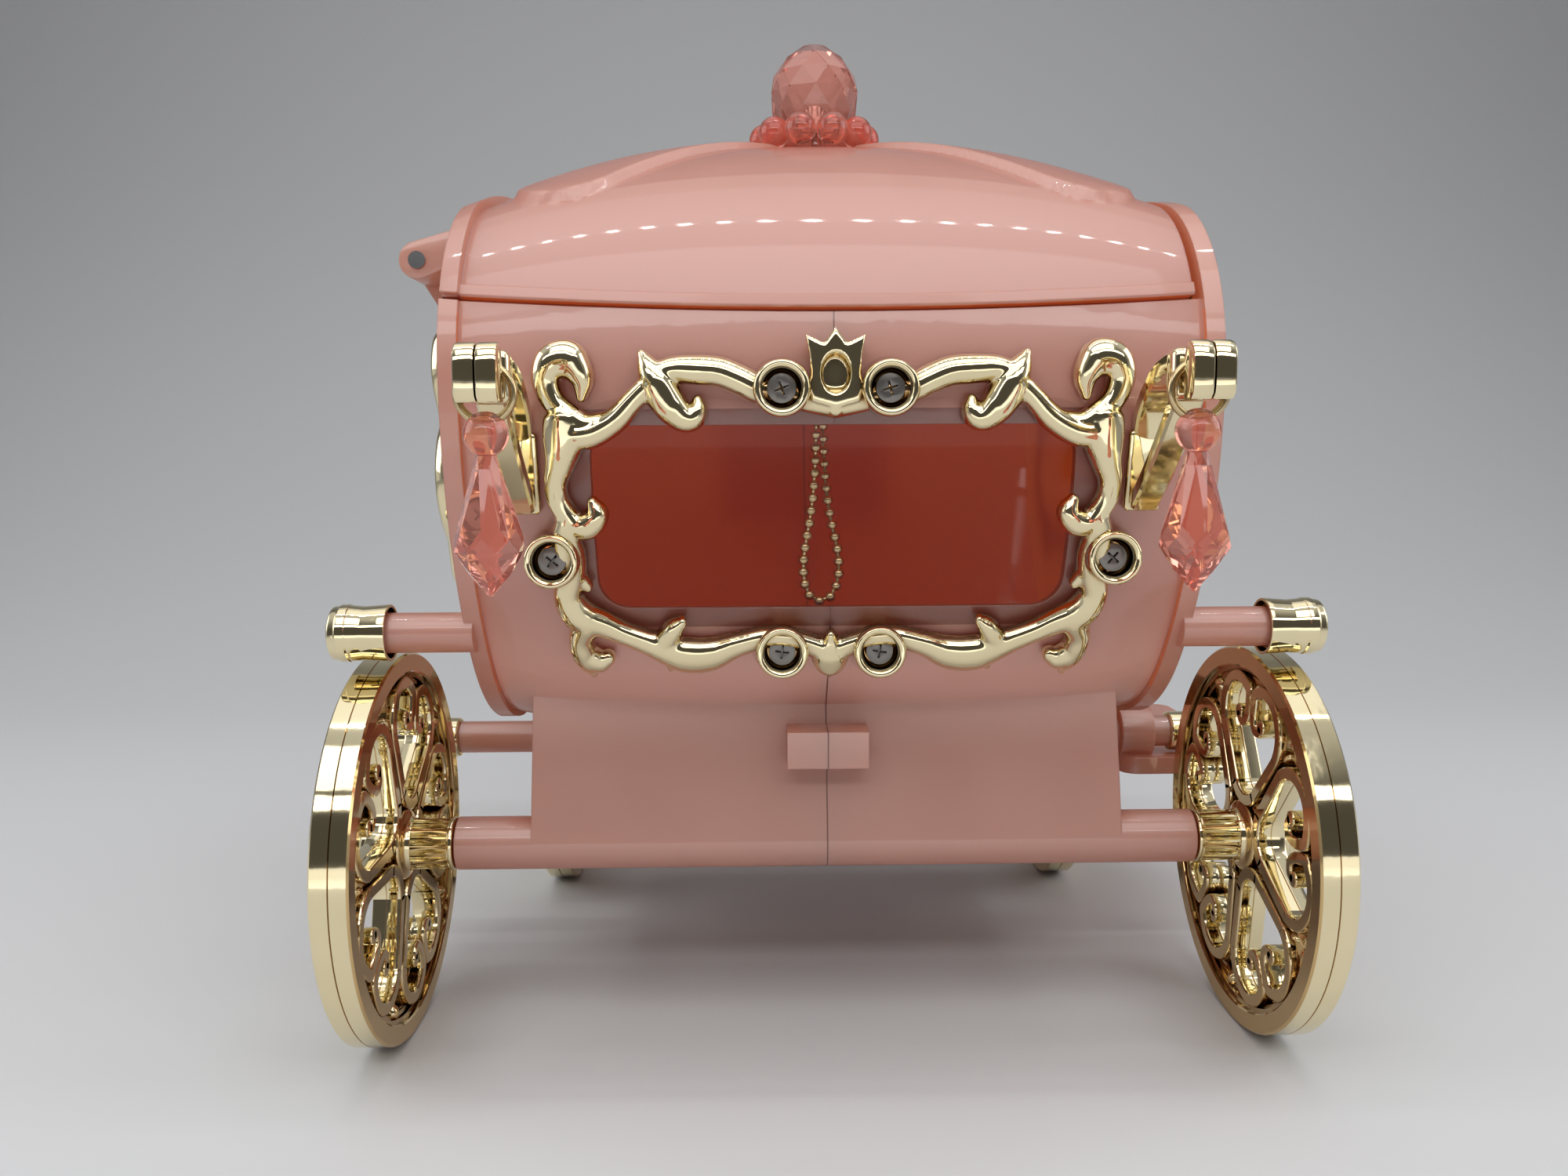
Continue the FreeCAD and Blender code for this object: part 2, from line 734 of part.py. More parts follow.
# hinge pin, axles and turned gold pieces

hinge_pin = turned_body("hinge_pin", [
    ("0", "-sizes.knuckle_outer - 0.4"),
    ("sizes.hinge_pin_radius", "-sizes.knuckle_outer - 0.4"),
    ("sizes.hinge_pin_radius", "sizes.knuckle_outer + 0.4"),
    ("0", "sizes.knuckle_outer + 0.4"),
])
place(hinge_pin, ("-sizes.cabin_half_width - sizes.hinge_offset", "0", "sizes.hinge_height"), TURN_TO["+Y"])
keep(hinge_pin, "hinge_pin")

for end, y_sign in (("rear", "-"), ("front", "")):
    reach = wheel_inner(end) + " + sizes.tread_width"
    axle = turned_body(end + "_axle", [
        ("0", "-(%s)" % reach), ("sizes.axle_radius", "-(%s)" % reach),
        ("sizes.axle_radius", reach), ("0", reach),
    ])
    spot = ("0", y_sign + "sizes.axle_spacing / 2", "sizes.%s_wheel_radius" % end)
    place(axle, spot, TURN_TO["+X"])
    keep(axle, end + "_axle")


def hub_cap(end, side_name):
    """Domed gold cap on the outer face of a wheel's hub."""
    name = "hub_cap_%s_%s" % (end, side_name)
    cap = turned_body(name, [
        ("0", "0"), ("sizes.hub_cap_radius", "0"),
        ("sizes.hub_cap_radius", "sizes.hub_cap_height * 0.25"),
        ("sizes.hub_cap_radius * 0.8", "sizes.hub_cap_height * 0.4"),
        ("sizes.hub_cap_radius * 0.74", "sizes.hub_cap_height * 0.72"),
        ("sizes.hub_cap_radius * 0.4", "sizes.hub_cap_height * 0.95"),
        ("0", "sizes.hub_cap_height"),
    ])
    sign = "-" if side_name == "left" else ""
    spot = (sign + "(%s + sizes.tread_width)" % wheel_inner(end),
            ("-" if end == "rear" else "") + "sizes.axle_spacing / 2",
            "sizes.%s_wheel_radius" % end)
    place(cap, spot, TURN_TO["-X" if side_name == "left" else "+X"])
    keep(cap, name)


def heart_lobe(end):
    """Centre and radius of a heart's lobe, clear of the next heart's band."""
    rim_inner = value_of("sizes.%s_wheel_radius - sizes.wheel_rim" % end)
    half_step = math.pi / HEART_COUNT
    spoke = 2 * sizes.heart_band + sizes.heart_groove
    x = (rim_inner + sizes.hub_radius) / 2 * 1.16
    y = (x * math.sin(half_step) - spoke / 2) / (1 + math.cos(half_step))
    return x, y, y + 0.1


def add_heart(sketch, end, grow):
    """Draw one heart: a round foot by the hub and two lobes that meet at a cusp by the rim."""
    lobe_x, lobe_y, lobe = heart_lobe(end)
    foot = 0.8 * lobe
    foot_x = sizes.hub_radius + 0.8 * sizes.heart_band + foot
    heading = math.atan2(lobe_y, lobe_x - foot_x)
    touch = heading + math.acos((foot - lobe) / math.hypot(lobe_y, lobe_x - foot_x))
    lobe += grow
    foot += grow
    cusp = math.acos(lobe_y / lobe) - math.pi / 2

    def on_lobe(angle, side):
        return Vector(lobe_x + lobe * math.cos(angle), side * (lobe_y + lobe * math.sin(angle)), 0)

    def on_foot(angle):
        return Vector(foot_x + foot * math.cos(angle), foot * math.sin(angle), 0)

    sketch.addGeometry(Part.Arc(on_foot(touch), on_foot(math.pi), on_foot(-touch)))
    for side in (1, -1):
        sketch.addGeometry(Part.LineSegment(on_foot(side * touch), on_lobe(touch, side)))
        sketch.addGeometry(Part.Arc(on_lobe(touch, side), on_lobe((touch + cusp) / 2, side),
                                    on_lobe(cusp, side)))
    return on_lobe(cusp, 1).x


def wheel(end, side_name, heart_turn):
    """Spoked wheel: a rim, five heart bands with volutes and pearls on a thin web, and a sleeve."""
    name = "wheel_%s_%s" % (end, side_name)
    radius = "sizes.%s_wheel_radius" % end
    body = doc.addObject("PartDesign::Body", name)
    disc = new_sketch(body, name + "_disc", "XY_Plane")
    add_circle(disc, radius)
    add_pad(body, disc, "sizes.tread_width")
    for face, lift in (("inner", "0"), ("outer", "sizes.tread_width")):
        recess = new_sketch(body, name + "_" + face, "XY_Plane", lift)
        add_circle(recess, radius + " - sizes.wheel_rim")
        add_circle(recess, "sizes.hub_radius")
        add_pocket(body, recess, "sizes.web_recess", face == "inner")
    openings = new_sketch(body, name + "_opening", "XY_Plane")
    cusp_x = add_heart(openings, end, 0)
    add_polar(body, add_pocket(body, openings), disc, HEART_COUNT)
    band_width = "sizes.tread_width - 2 * sizes.band_recess"
    bands = new_sketch(body, name + "_band", "XY_Plane", "sizes.band_recess")
    add_heart(bands, end, 0)
    add_heart(bands, end, sizes.heart_band)
    add_polar(body, add_pad(body, bands, band_width), disc, HEART_COUNT)
    volutes = new_sketch(body, name + "_volute", "XY_Plane", "sizes.band_recess")
    for side in ("", "-"):
        add_circle(volutes, "sizes.volute_radius", str(cusp_x - 0.5), side + "sizes.volute_radius * 0.93")
    add_polar(body, add_pad(body, volutes, band_width), disc, HEART_COUNT)
    pearls = new_sketch(body, name + "_pearl", "XY_Plane", "sizes.band_recess")
    pearl_ring = "(%s - sizes.wheel_rim - sizes.pearl_radius * 0.7)" % radius
    add_circle(pearls, "sizes.pearl_radius", pearl_ring + " * cos(180 / %d)" % HEART_COUNT,
               pearl_ring + " * sin(180 / %d)" % HEART_COUNT)
    add_polar(body, add_pad(body, pearls, band_width), disc, HEART_COUNT)
    sleeve = new_sketch(body, name + "_sleeve", "XY_Plane")
    add_circle(sleeve, "sizes.sleeve_radius")
    add_pad(body, sleeve, "sizes.%s_sleeve_length" % end, True)
    bore = new_sketch(body, name + "_bore", "XY_Plane")
    add_circle(bore, "sizes.axle_radius + sizes.press_gap")
    add_pocket(body, bore)
    side = SIDES[side_name]
    turn = math.radians(heart_turn)
    outward = Vector(side, 0, 0)
    heart_way = Vector(0, math.cos(turn), math.sin(turn))
    rotation = Rotation(heart_way, outward.cross(heart_way), outward, "ZXY")
    spot = (("-" if side < 0 else "") + wheel_inner(end),
            ("-" if end == "rear" else "") + "sizes.axle_spacing / 2", radius)
    place(body, spot, rotation)
    keep(body, name)


for end, side_name, heart_turn in (("rear", "left", 0), ("rear", "right", 25),
                                   ("front", "left", 18), ("front", "right", 50)):
    wheel(end, side_name, heart_turn)
    hub_cap(end, side_name)

for side_name, sign in (("left", "-"), ("right", "")):
    cap_bore = "sizes.rod_radius + sizes.rod_cap_clearance"
    cap = turned_body("rod_cap_" + side_name, [
        (cap_bore, "0"), ("sizes.rod_cap_radius", "0"),
        ("sizes.rod_cap_radius", "sizes.rod_cap_length * 0.7"),
        ("sizes.rod_cap_radius * 1.05", "sizes.rod_cap_length * 0.74"),
        ("sizes.rod_cap_radius * 1.05", "sizes.rod_cap_length * 0.86"),
        ("sizes.rod_cap_radius", "sizes.rod_cap_length * 0.9"),
        ("sizes.rod_cap_radius * 0.9", "sizes.rod_cap_length"),
        ("0", "sizes.rod_cap_length"), ("0", "sizes.rod_cap_socket"),
        (cap_bore, "sizes.rod_cap_socket"),
    ])
    place(cap, (sign + "sizes.rod_cap_inner", "-sizes.rod_depth", "sizes.rod_height"),
          TURN_TO["-X" if sign else "+X"])
    keep(cap, "rod_cap_" + side_name)

    tenon_bore = "sizes.step_tenon_radius + sizes.rod_cap_clearance"
    step_cap = turned_body("step_cap_" + side_name, [
        (tenon_bore, "0"), ("sizes.step_cap_radius", "0"),
        ("sizes.step_cap_radius", "sizes.step_cap_length * 0.82"),
        ("sizes.step_cap_radius * 0.75", "sizes.step_cap_length * 0.95"),
        ("sizes.step_cap_radius * 0.4", "sizes.step_cap_length"),
        ("0", "sizes.step_cap_length"), ("0", "sizes.step_tenon_length"),
        (tenon_bore, "sizes.step_tenon_length"),
    ])
    place(step_cap, (sign + "sizes.step_bar_reach", "0", "sizes.step_bar_height"),
          TURN_TO["-X" if sign else "+X"])
    keep(step_cap, "step_cap_" + side_name)


# entry step that hangs on the right step bar by its eye

def entry_step():
    low_x = value_of(wheel_inner("front")) + sizes.tread_width + sizes.step_board_gap
    high_x = sizes.step_bar_reach + sizes.step_cap_length
    top = sizes.step_board_top
    start = sizes.step_board_start
    board = box_between((low_x, start, top - sizes.step_board_thickness),
                        (high_x, start + sizes.step_board_length, top))
    upright = [edge for edge in board.Edges if abs(edge.tangentAt(edge.FirstParameter).z) > 0.9]
    board = board.makeFillet(sizes.step_board_thickness, upright)
    bar_z = sizes.step_bar_height
    eye_radius = sizes.step_bar_radius + sizes.rod_cap_clearance
    eye = rod_between((low_x, 0, bar_z), (low_x + sizes.step_eye_width, 0, bar_z),
                      eye_radius + sizes.step_eye_wall)
    neck = box_between((low_x, -eye_radius, top - 1), (low_x + sizes.step_eye_width, eye_radius, bar_z))
    hole = rod_between((low_x - 1, 0, bar_z), (high_x, 0, bar_z), eye_radius)
    cap_room = rod_between((sizes.step_bar_reach - 1, 0, bar_z), (high_x + 1, 0, bar_z),
                           sizes.step_cap_radius + 0.3)
    return joined([board, eye, neck]).cut([hole, cap_room])


keep(free_form("entry_step", entry_step()), "entry_step")


# window pane, gold window frame and its screws

def window_pane():
    layer = wall_layer(sizes.seat_gap, sizes.seat_gap + sizes.pane_thickness)
    outline = [window_prism(sizes.pane_lap)]
    for x, z in frame_screw_spots():
        inward_z = (sizes.window_bottom + sizes.window_top) / 2
        tab = stroke([(x, z, sizes.eyelet_radius + 0.6), (x * 0.6, inward_z, sizes.eyelet_radius)], FAR)
        outline.append(stood_up(tab[0], Vector(0, -1, 0)))
    return layer.common(joined(outline)).cut(screw_holes())


keep(free_form("window_pane", window_pane()), "window_pane")


def frame_strokes():
    """Half of the scrolled frame as strokes of (X, Z, half width)."""
    return [
        # top bar from the eyelet to the leaf bud and down to the upper corner
        [(8.4, 115.3, 2.0), (14.0, 117.8, 1.7), (20.0, 118.8, 1.9), (26.5, 117.6, 2.2),
         (31.0, 113.4, 1.8), (36.5, 110.0, 1.8), (41.0, 108.6, 2.3)],
        # leaf bud with its tip and its hanging lobe
        [(29.6, 120.0, 0.8), (26.5, 117.6, 2.4), (24.6, 112.6, 2.6), (24.0, 110.6, 1.8)],
        # big hooked scroll at the upper corner
        [(41.0, 108.6, 2.3), (44.2, 111.4, 1.8), (44.8, 115.6, 1.9), (43.8, 119.2, 2.0),
         (41.4, 120.2, 2.0), (39.8, 117.6, 1.4), (40.0, 115.6, 0.7)],
        # side bar with its inward curl
        [(41.0, 108.6, 2.3), (43.0, 104.0, 1.8), (43.4, 99.0, 1.8), (41.4, 95.2, 2.2),
         (37.8, 94.2, 1.9), (36.6, 95.6, 1.2)],
        # lower side bar to the lower corner
        [(41.4, 95.2, 2.0), (40.6, 91.4, 1.8), (42.6, 86.0, 2.0), (41.0, 80.6, 2.0), (37.4, 78.4, 2.0)],
        # lower corner scroll
        [(40.4, 79.0, 2.0), (40.2, 74.6, 1.9), (37.6, 72.2, 1.6), (35.0, 73.6, 0.9)],
        # bottom bar with its leaf spur
        [(37.4, 78.4, 2.0), (30.0, 76.6, 1.7), (24.0, 74.4, 2.0), (19.0, 74.2, 1.9),
         (13.0, 76.0, 1.5), (8.2, 76.4, 1.3), (3.0, 74.0, 1.2), (0.0, 72.8, 2.2)],
        [(25.4, 79.0, 0.7), (26.2, 75.6, 1.9), (25.2, 71.8, 0.9)],
        # links that hold the eyelets at the sides and the crown
        [(45.0, 88.6, 2.4), (42.4, 88.6, 2.0)],
        [(8.4, 115.3, 1.8), (0.0, 114.4, 2.2)],
    ]


def crown_outline():
    """Tulip crown at the top of the frame, with three points."""
    half = [(0.0, 125.6), (1.6, 123.0), (4.6, 124.8), (3.6, 119.0), (3.4, 114.0), (0.0, 111.4)]
    spots = half + [(-x, z) for x, z in half[-2:0:-1]]
    return Part.makePolygon([Vector(x, z, 0) for x, z in spots + spots[:1]])


def window_frame():
    inner = sizes.seat_gap + sizes.pane_thickness + sizes.seat_gap
    layer = wall_layer(inner, inner + sizes.frame_thickness)
    flat = []
    for points in frame_strokes():
        flat += stroke(points, FAR)
    half = joined(flat)
    crown = Part.Face(crown_outline()).extrude(Vector(0, 0, FAR))
    outline = half.multiFuse([mirrored_across(half, Vector(1, 0, 0)), crown])
    relief = layer.common(stood_up(outline, Vector(0, -1, 0)))
    eyelets = []
    bores = []
    room = cabin_block(inner)
    for x, z in frame_screw_spots():
        seat = -wall_depth(x, z, inner)
        front = seat - sizes.eyelet_length
        eyelets.append(rod_between((x, front, z), (x, seat + sizes.eyelet_length, z), sizes.eyelet_radius))
        bores.append(rod_between((x, front - 1, z), (x, seat - sizes.eyelet_ledge, z), sizes.eyelet_bore))
    return relief.multiFuse(eyelets).cut([room] + bores + screw_holes())


keep(free_form("window_frame", window_frame()), "window_frame")

frame_screw = turned_body("frame_screw_form", [
    ("0", "-sizes.screw_length"), ("sizes.screw_radius", "-sizes.screw_length"),
    ("sizes.screw_radius", "0"), ("sizes.screw_head_radius", "0"),
    ("sizes.screw_head_radius", "sizes.screw_head_height * 0.6"),
    ("sizes.screw_head_radius * 0.6", "sizes.screw_head_height"), ("0", "sizes.screw_head_height"),
])
doc.recompute()


def screw_group(name, spots, rotation):
    screws = []
    for spot in spots:
        screw = frame_screw.Shape.copy()
        screw.Placement = Placement(Vector(*spot), rotation)
        screws.append(screw)
    keep(free_form(name, Part.makeCompound(screws)), name)


frame_seat = 2 * sizes.seat_gap + sizes.pane_thickness
screw_group("frame_screws",
            [(x, -wall_depth(x, z, frame_seat) - sizes.eyelet_ledge, z) for x, z in frame_screw_spots()],
            TURN_TO["-Y"])
head_seat = chassis_bottom + sizes.screw_head_height + sizes.screw_clearance
screw_group("cover_screws", [(x, y, head_seat) for x, y in cover_screw_spots()], TURN_TO["-Z"])


# lamp brackets with their pendants

def lamp_bracket(side):
    reach = sizes.lamp_reach
    top = sizes.lamp_top
    half = sizes.strap_thickness / 2
    block_back = reach - sizes.lamp_block_depth
    rear_front = block_back - sizes.neck_length
    rear_back = rear_front - sizes.lamp_block_depth
    strap_width = sizes.strap_width - 2 * sizes.strap_inset
    strokes = stroke([(-66.0, 110.0, half), (-78.0, top - half - 1.2, half),
                      (-rear_back - 1, top - half, half)],
                     strap_width)
    strokes += stroke([(-62.0, 94.0, half), (-rear_back - 1, top - sizes.lamp_block_height + 3, half)],
                      strap_width)
    x_low = side * sizes.lamp_spread - sizes.strap_width / 2
    x_high = x_low + sizes.strap_width
    strap = stood_up(joined(strokes), Vector(1, 0, 0))
    strap.translate(Vector(x_low + sizes.strap_inset, 0, 0))
    low = top - sizes.lamp_block_height
    blocks = [box_between((x_low, -reach, low), (x_high, -block_back, top)),
              box_between((x_low, -rear_front, low), (x_high, -rear_back, top))]
    neck = rod_between((side * sizes.lamp_spread, -reach, sizes.neck_height),
                       (side * sizes.lamp_spread, -rear_back, sizes.neck_height), sizes.neck_radius)
    foot = wall_layer(sizes.seat_gap, sizes.seat_gap + 2).common(
        box_between((x_low, -FAR, 96.5), (x_high, 0, 109.0)))
    return joined([strap, neck, foot] + blocks).cut(cabin_block(sizes.seat_gap))


for side_name, side in SIDES.items():
    keep(free_form("lamp_bracket_" + side_name, lamp_bracket(side)), "lamp_bracket_" + side_name)

ring_top = "(sizes.neck_height + sizes.neck_radius + sizes.ring_play + sizes.ring_wire)"
ring_centre = "(%s - sizes.ring_radius)" % ring_top
ring_depth = "-(sizes.lamp_reach - sizes.lamp_block_depth - sizes.neck_length / 2)"
bead_centre = "(%s - sizes.ring_radius - sizes.bead_radius * 0.54)" % ring_centre

for side_name, sign in (("left", "-"), ("right", "")):
    lamp_x = sign + "sizes.lamp_spread"
    ring = doc.addObject("Part::Torus", "pendant_ring_" + side_name)
    ring.setExpression("Radius1", "sizes.ring_radius")
    ring.setExpression("Radius2", "sizes.ring_wire")
    place(ring, (lamp_x, ring_depth, ring_centre), TURN_TO["+Y"])
    keep(ring, "pendant_ring_" + side_name)

    groove = doc.addObject("Part::Torus", "pendant_groove_" + side_name)
    groove.setExpression("Radius1", "sizes.ring_radius")
    groove.setExpression("Radius2", "sizes.ring_wire + sizes.running_gap")
    place(groove, (lamp_x, ring_depth, ring_centre), TURN_TO["+Y"])

    bead = doc.addObject("Part::Sphere", "pendant_bead_" + side_name)
    bead.setExpression("Radius", "sizes.bead_radius")
    place(bead, (lamp_x, ring_depth, bead_centre))

    sections = []
    shares = ((0.0, 0.28), (0.12, 0.42), (0.62, 1.0), (0.76, 0.86), (1.0, 0.05))
    for index, (fall, width) in enumerate(shares):
        section = doc.addObject("Part::RegularPolygon", "drop_%s_%d" % (side_name, index))
        section.Polygon = DROP_SIDES
        section.setExpression("Circumradius", "sizes.drop_radius * %s" % width)
        drop_top = "%s - sizes.bead_radius * 0.9" % bead_centre
        place(section, (lamp_x, ring_depth, "%s - sizes.drop_length * %s" % (drop_top, fall)))
        sections.append(section)
    crystal = doc.addObject("Part::Loft", "pendant_crystal_" + side_name)
    crystal.Sections = sections
    crystal.Solid = True
    crystal.Ruled = True
    whole = doc.addObject("Part::Fuse", "pendant_whole_" + side_name)
    whole.Base = bead
    whole.Tool = crystal
    drop = doc.addObject("Part::Cut", "pendant_drop_" + side_name)
    drop.Base = whole
    drop.Tool = groove
    keep(drop, "pendant_drop_" + side_name)


# gold frames on the cabin sides

def side_frame(side):
    half = sizes.side_frame_half_length
    low = sizes.side_frame_bottom
    high = sizes.side_frame_top
    bar = sizes.side_frame_bar
    middle = (low + high) / 2
    strokes = [
        [(0, high, bar), (half * 0.55, high - 1, bar), (half * 0.9, high - 5, bar),
         (half, middle, bar), (half * 0.86, low + 5, bar), (half * 0.5, low, bar), (0, low - 1, bar * 1.3)],
        [(half * 0.9, high - 5, bar), (half, high + 3, bar), (half * 0.97, high + 9, bar * 0.9),
         (half * 0.88, high + 10, bar * 0.6)],
        [(half * 0.86, low + 5, bar), (half * 0.8, low - 2, bar), (half * 0.7, low - 3.4, bar * 0.6)],
        [(half * 0.55, high - 1, bar), (half * 0.42, high - 6, bar * 0.8),
         (half * 0.34, high - 5, bar * 0.6)],
    ]
    flat = []
    for points in strokes:
        flat += stroke(points, sizes.side_frame_thickness)
    one = joined(flat)
    whole = joined([one, mirrored_across(one, Vector(1, 0, 0))])
    standing = stood_up(whole, Vector(side, 0, 0))
    standing.translate(Vector(side * (half_width + sizes.seat_gap), 0, 0))
    return standing


for side_name, side in SIDES.items():
    keep(free_form("side_frame_" + side_name, side_frame(side)), "side_frame_" + side_name)


# coachman's bench at the end away from the window

def coachman_bench():
    half = sizes.bench_thickness / 2
    seat_z = sizes.bench_seat_height
    back_y = wall_depth(0, sizes.bench_top, half)
    route = [(back_y, sizes.bench_top, half), (wall_depth(0, seat_z, half), seat_z, half),
             (sizes.bench_seat_reach, seat_z, half),
             (sizes.bench_seat_reach - 4, sizes.footboard_height, half),
             (sizes.lamp_reach - half, sizes.footboard_height + 4, half)]
    flat = joined(stroke(route, 2 * sizes.bench_half_width))
    bench = stood_up(flat, Vector(1, 0, 0))
    bench.translate(Vector(-sizes.bench_half_width, 0, 0))
    return bench.cut(cabin_block(sizes.seat_gap))


keep(free_form("coachman_bench", coachman_bench()), "coachman_bench")


# finial: bead ring, faceted ball and the screw that holds them

def finial_ring():
    seat = sizes.crown_top + sizes.finial_seat_rise
    base = rod_between((0, 0, seat), (0, 0, seat + sizes.finial_base_height), sizes.finial_seat_radius)
    beads = []
    for index in range(FINIAL_BEADS):
        turn = 2 * math.pi * index / FINIAL_BEADS
        centre = Vector(math.cos(turn), math.sin(turn), 0) * sizes.bead_ring_radius
        centre.z = seat + sizes.ring_bead_radius
        bead = Part.makeSphere(sizes.ring_bead_radius)
        bead.Placement = Placement(centre, Rotation(Vector(0, 0, 1), math.degrees(turn)))
        beads.append(bead)
    ring = base.multiFuse(beads)
    hole = rod_between((0, 0, 0), (0, 0, FAR), sizes.finial_screw_radius + sizes.screw_clearance)
    return ring.cut(hole)


keep(free_form("finial_ring", finial_ring()), "finial_ring")

ball_sections = []
ball_bottom = "(sizes.crown_top + sizes.finial_seat_rise + sizes.finial_base_height)"
ball_shares = ((0.0, 0.55), (0.14, 0.74), (0.28, 0.93), (0.48, 1.0), (0.7, 0.88), (0.9, 0.5), (1.0, 0.2))
for index, (rise, width) in enumerate(ball_shares):
    section = doc.addObject("Part::RegularPolygon", "ball_section_%d" % index)
    section.Polygon = BALL_SIDES
    section.setExpression("Circumradius", "sizes.ball_radius * %s" % width)
    place(section, ("0", "0", "%s + sizes.finial_ball_height * %s" % (ball_bottom, rise)))
    ball_sections.append(section)
ball_blank = doc.addObject("Part::Loft", "ball_blank")
ball_blank.Sections = ball_sections
ball_blank.Solid = True
ball_blank.Ruled = True
ball_hole = doc.addObject("Part::Cylinder", "ball_hole")
ball_hole.setExpression("Radius", "sizes.finial_screw_radius + sizes.press_gap")
ball_hole.setExpression("Height", "sizes.ball_radius")
place(ball_hole, ("0", "0", ball_bottom + " - 1"))
finial_ball = doc.addObject("Part::Cut", "finial_ball")
finial_ball.Base = ball_blank
finial_ball.Tool = ball_hole
keep(finial_ball, "finial_ball")

screw_under = "(sizes.crown_top - sizes.cabin_wall - 1)"
finial_screw = turned_body("finial_screw", [
    ("0", screw_under + " - sizes.screw_head_height"),
    ("sizes.finial_screw_head", screw_under + " - sizes.screw_head_height"),
    ("sizes.finial_screw_head", screw_under), ("sizes.finial_screw_radius", screw_under),
    ("sizes.finial_screw_radius", ball_bottom + " + sizes.ball_radius - 2"),
    ("0", ball_bottom + " + sizes.ball_radius - 2"),
])
keep(finial_screw, "finial_screw")


# lid chain and its two screw eyes

def rounded_path(points):
    """Straight runs joined by tangent arcs as large as the runs allow."""
    edges = []
    start = points[0]
    least = None
    for before, corner, after in zip(points, points[1:], points[2:]):
        back = (before - corner)
        ahead = (after - corner)
        setback = 0.45 * min(back.Length, ahead.Length)
        turn = math.pi - back.getAngle(ahead)
        radius = setback / math.tan(turn / 2)
        least = radius if least is None else min(least, radius)
        enter = corner + back.normalize() * setback
        leave = corner + ahead.normalize() * setback
        centre = corner + (back + ahead).normalize() * (radius / math.cos(turn / 2))
        middle = centre + (corner - centre).normalize() * radius
        edges.append(Part.LineSegment(start, enter).toShape())
        edges.append(Part.Arc(enter, middle, leave).toShape())
        start = leave
    edges.append(Part.LineSegment(start, points[-1]).toShape())
    print("lid chain: least bend radius %.2f mm" % least)
    return Part.Wire(edges)


def lid_chain():
    points = chain_points()
    path = rounded_path(points)
    ring = Part.Circle(points[0], points[1] - points[0], sizes.chain_radius)
    tube = path.makePipeShell([Part.Wire(ring.toShape())], True, False)
    share = tube.Volume / (math.pi * sizes.chain_radius ** 2 * path.Length)
    print("lid chain: %.1f mm long, volume share %.4f" % (path.Length, share))
    return tube


keep(free_form("lid_chain", lid_chain()), "lid_chain")


def screw_eye(centre, shank_way, shank_length):
    """Wire ring on a shank; the ring's plane holds the shank."""
    ring = Part.makeTorus(sizes.eye_radius, sizes.eye_wire, centre, Vector(1, 0, 0))
    root = centre + shank_way * sizes.eye_radius
    shank = Part.makeCylinder(sizes.eye_wire, shank_length, root, shank_way)
    return ring.fuse(shank)


chain_start = chain_points()[0]
chain_finish = chain_points()[-1]
eye_reach = sizes.eye_radius + sizes.eye_wire
wall_eye_centre = chain_start + Vector(0, 0, eye_reach)
wall_eye_root = wall_eye_centre.y - sizes.eye_radius
wall_eye_length = wall_depth(wall_eye_centre.x, wall_eye_centre.z) + wall_eye_root - sizes.eye_cover
keep(free_form("chain_eye_wall", screw_eye(wall_eye_centre, Vector(0, -1, 0), wall_eye_length)),
     "chain_eye_wall")
lid_eye_centre = chain_finish + Vector(0, 0, eye_reach)
lid_eye_root = lid_eye_centre.z + sizes.eye_radius
lid_eye_length = roof_height(lid_eye_centre.x, lid_eye_centre.y) - sizes.eye_cover - lid_eye_root
keep(free_form("chain_eye_lid", screw_eye(lid_eye_centre, Vector(0, 0, 1), lid_eye_length)),
     "chain_eye_lid")


# cabin floor and bottom cover

def cabin_floor():
    gap = sizes.floor_gap
    width = inner_width - gap
    low = sizes.floor_height
    slab = box_between((-width, -FAR, low), (width, FAR, low + sizes.floor_thickness))
    return cabin_block(-sizes.cabin_wall - gap).common(slab)


keep(free_form("cabin_floor", cabin_floor()), "cabin_floor")

cover_x = "(sizes.chassis_half_width - sizes.chassis_wall - sizes.cover_gap)"
cover_y = "(sizes.well_half_length - sizes.cover_gap)"
cover = doc.addObject("PartDesign::Body", "bottom_cover")
cover_outline = new_sketch(cover, "cover_outline", "XY_Plane")
add_outline(cover_outline, [("-" + cover_x, "-" + cover_y), (cover_x, "-" + cover_y),
                            (cover_x, cover_y), ("-" + cover_x, cover_y)])
add_pad(cover, cover_outline, "sizes.cover_thickness")
cover_holes = new_sketch(cover, "cover_holes", "XY_Plane")
hole_x = "(sizes.chassis_half_width - sizes.chassis_wall - sizes.cover_screw_inset)"
hole_y = "(sizes.well_half_length - sizes.cover_screw_inset)"
for x_sign in ("-", ""):
    for y_sign in ("-", ""):
        add_circle(cover_holes, "sizes.screw_radius + sizes.screw_clearance", x_sign + hole_x, y_sign + hole_y)
add_circle(cover_holes, "sizes.key_shaft_radius + sizes.running_gap", "-sizes.barrel_offset", "0")
add_pocket(cover, cover_holes)
head_rooms = new_sketch(cover, "head_rooms", "XY_Plane")
for x_sign in ("-", ""):
    for y_sign in ("-", ""):
        add_circle(head_rooms, "sizes.screw_head_radius + sizes.screw_clearance", x_sign + hole_x, y_sign + hole_y)
add_pocket(cover, head_rooms, "sizes.screw_head_height + sizes.screw_clearance", True)
place(cover, ("0", "0", "sizes.rear_wheel_radius - sizes.axle_tube_radius"))
keep(cover, "bottom_cover")


# musical movement on the bottom cover

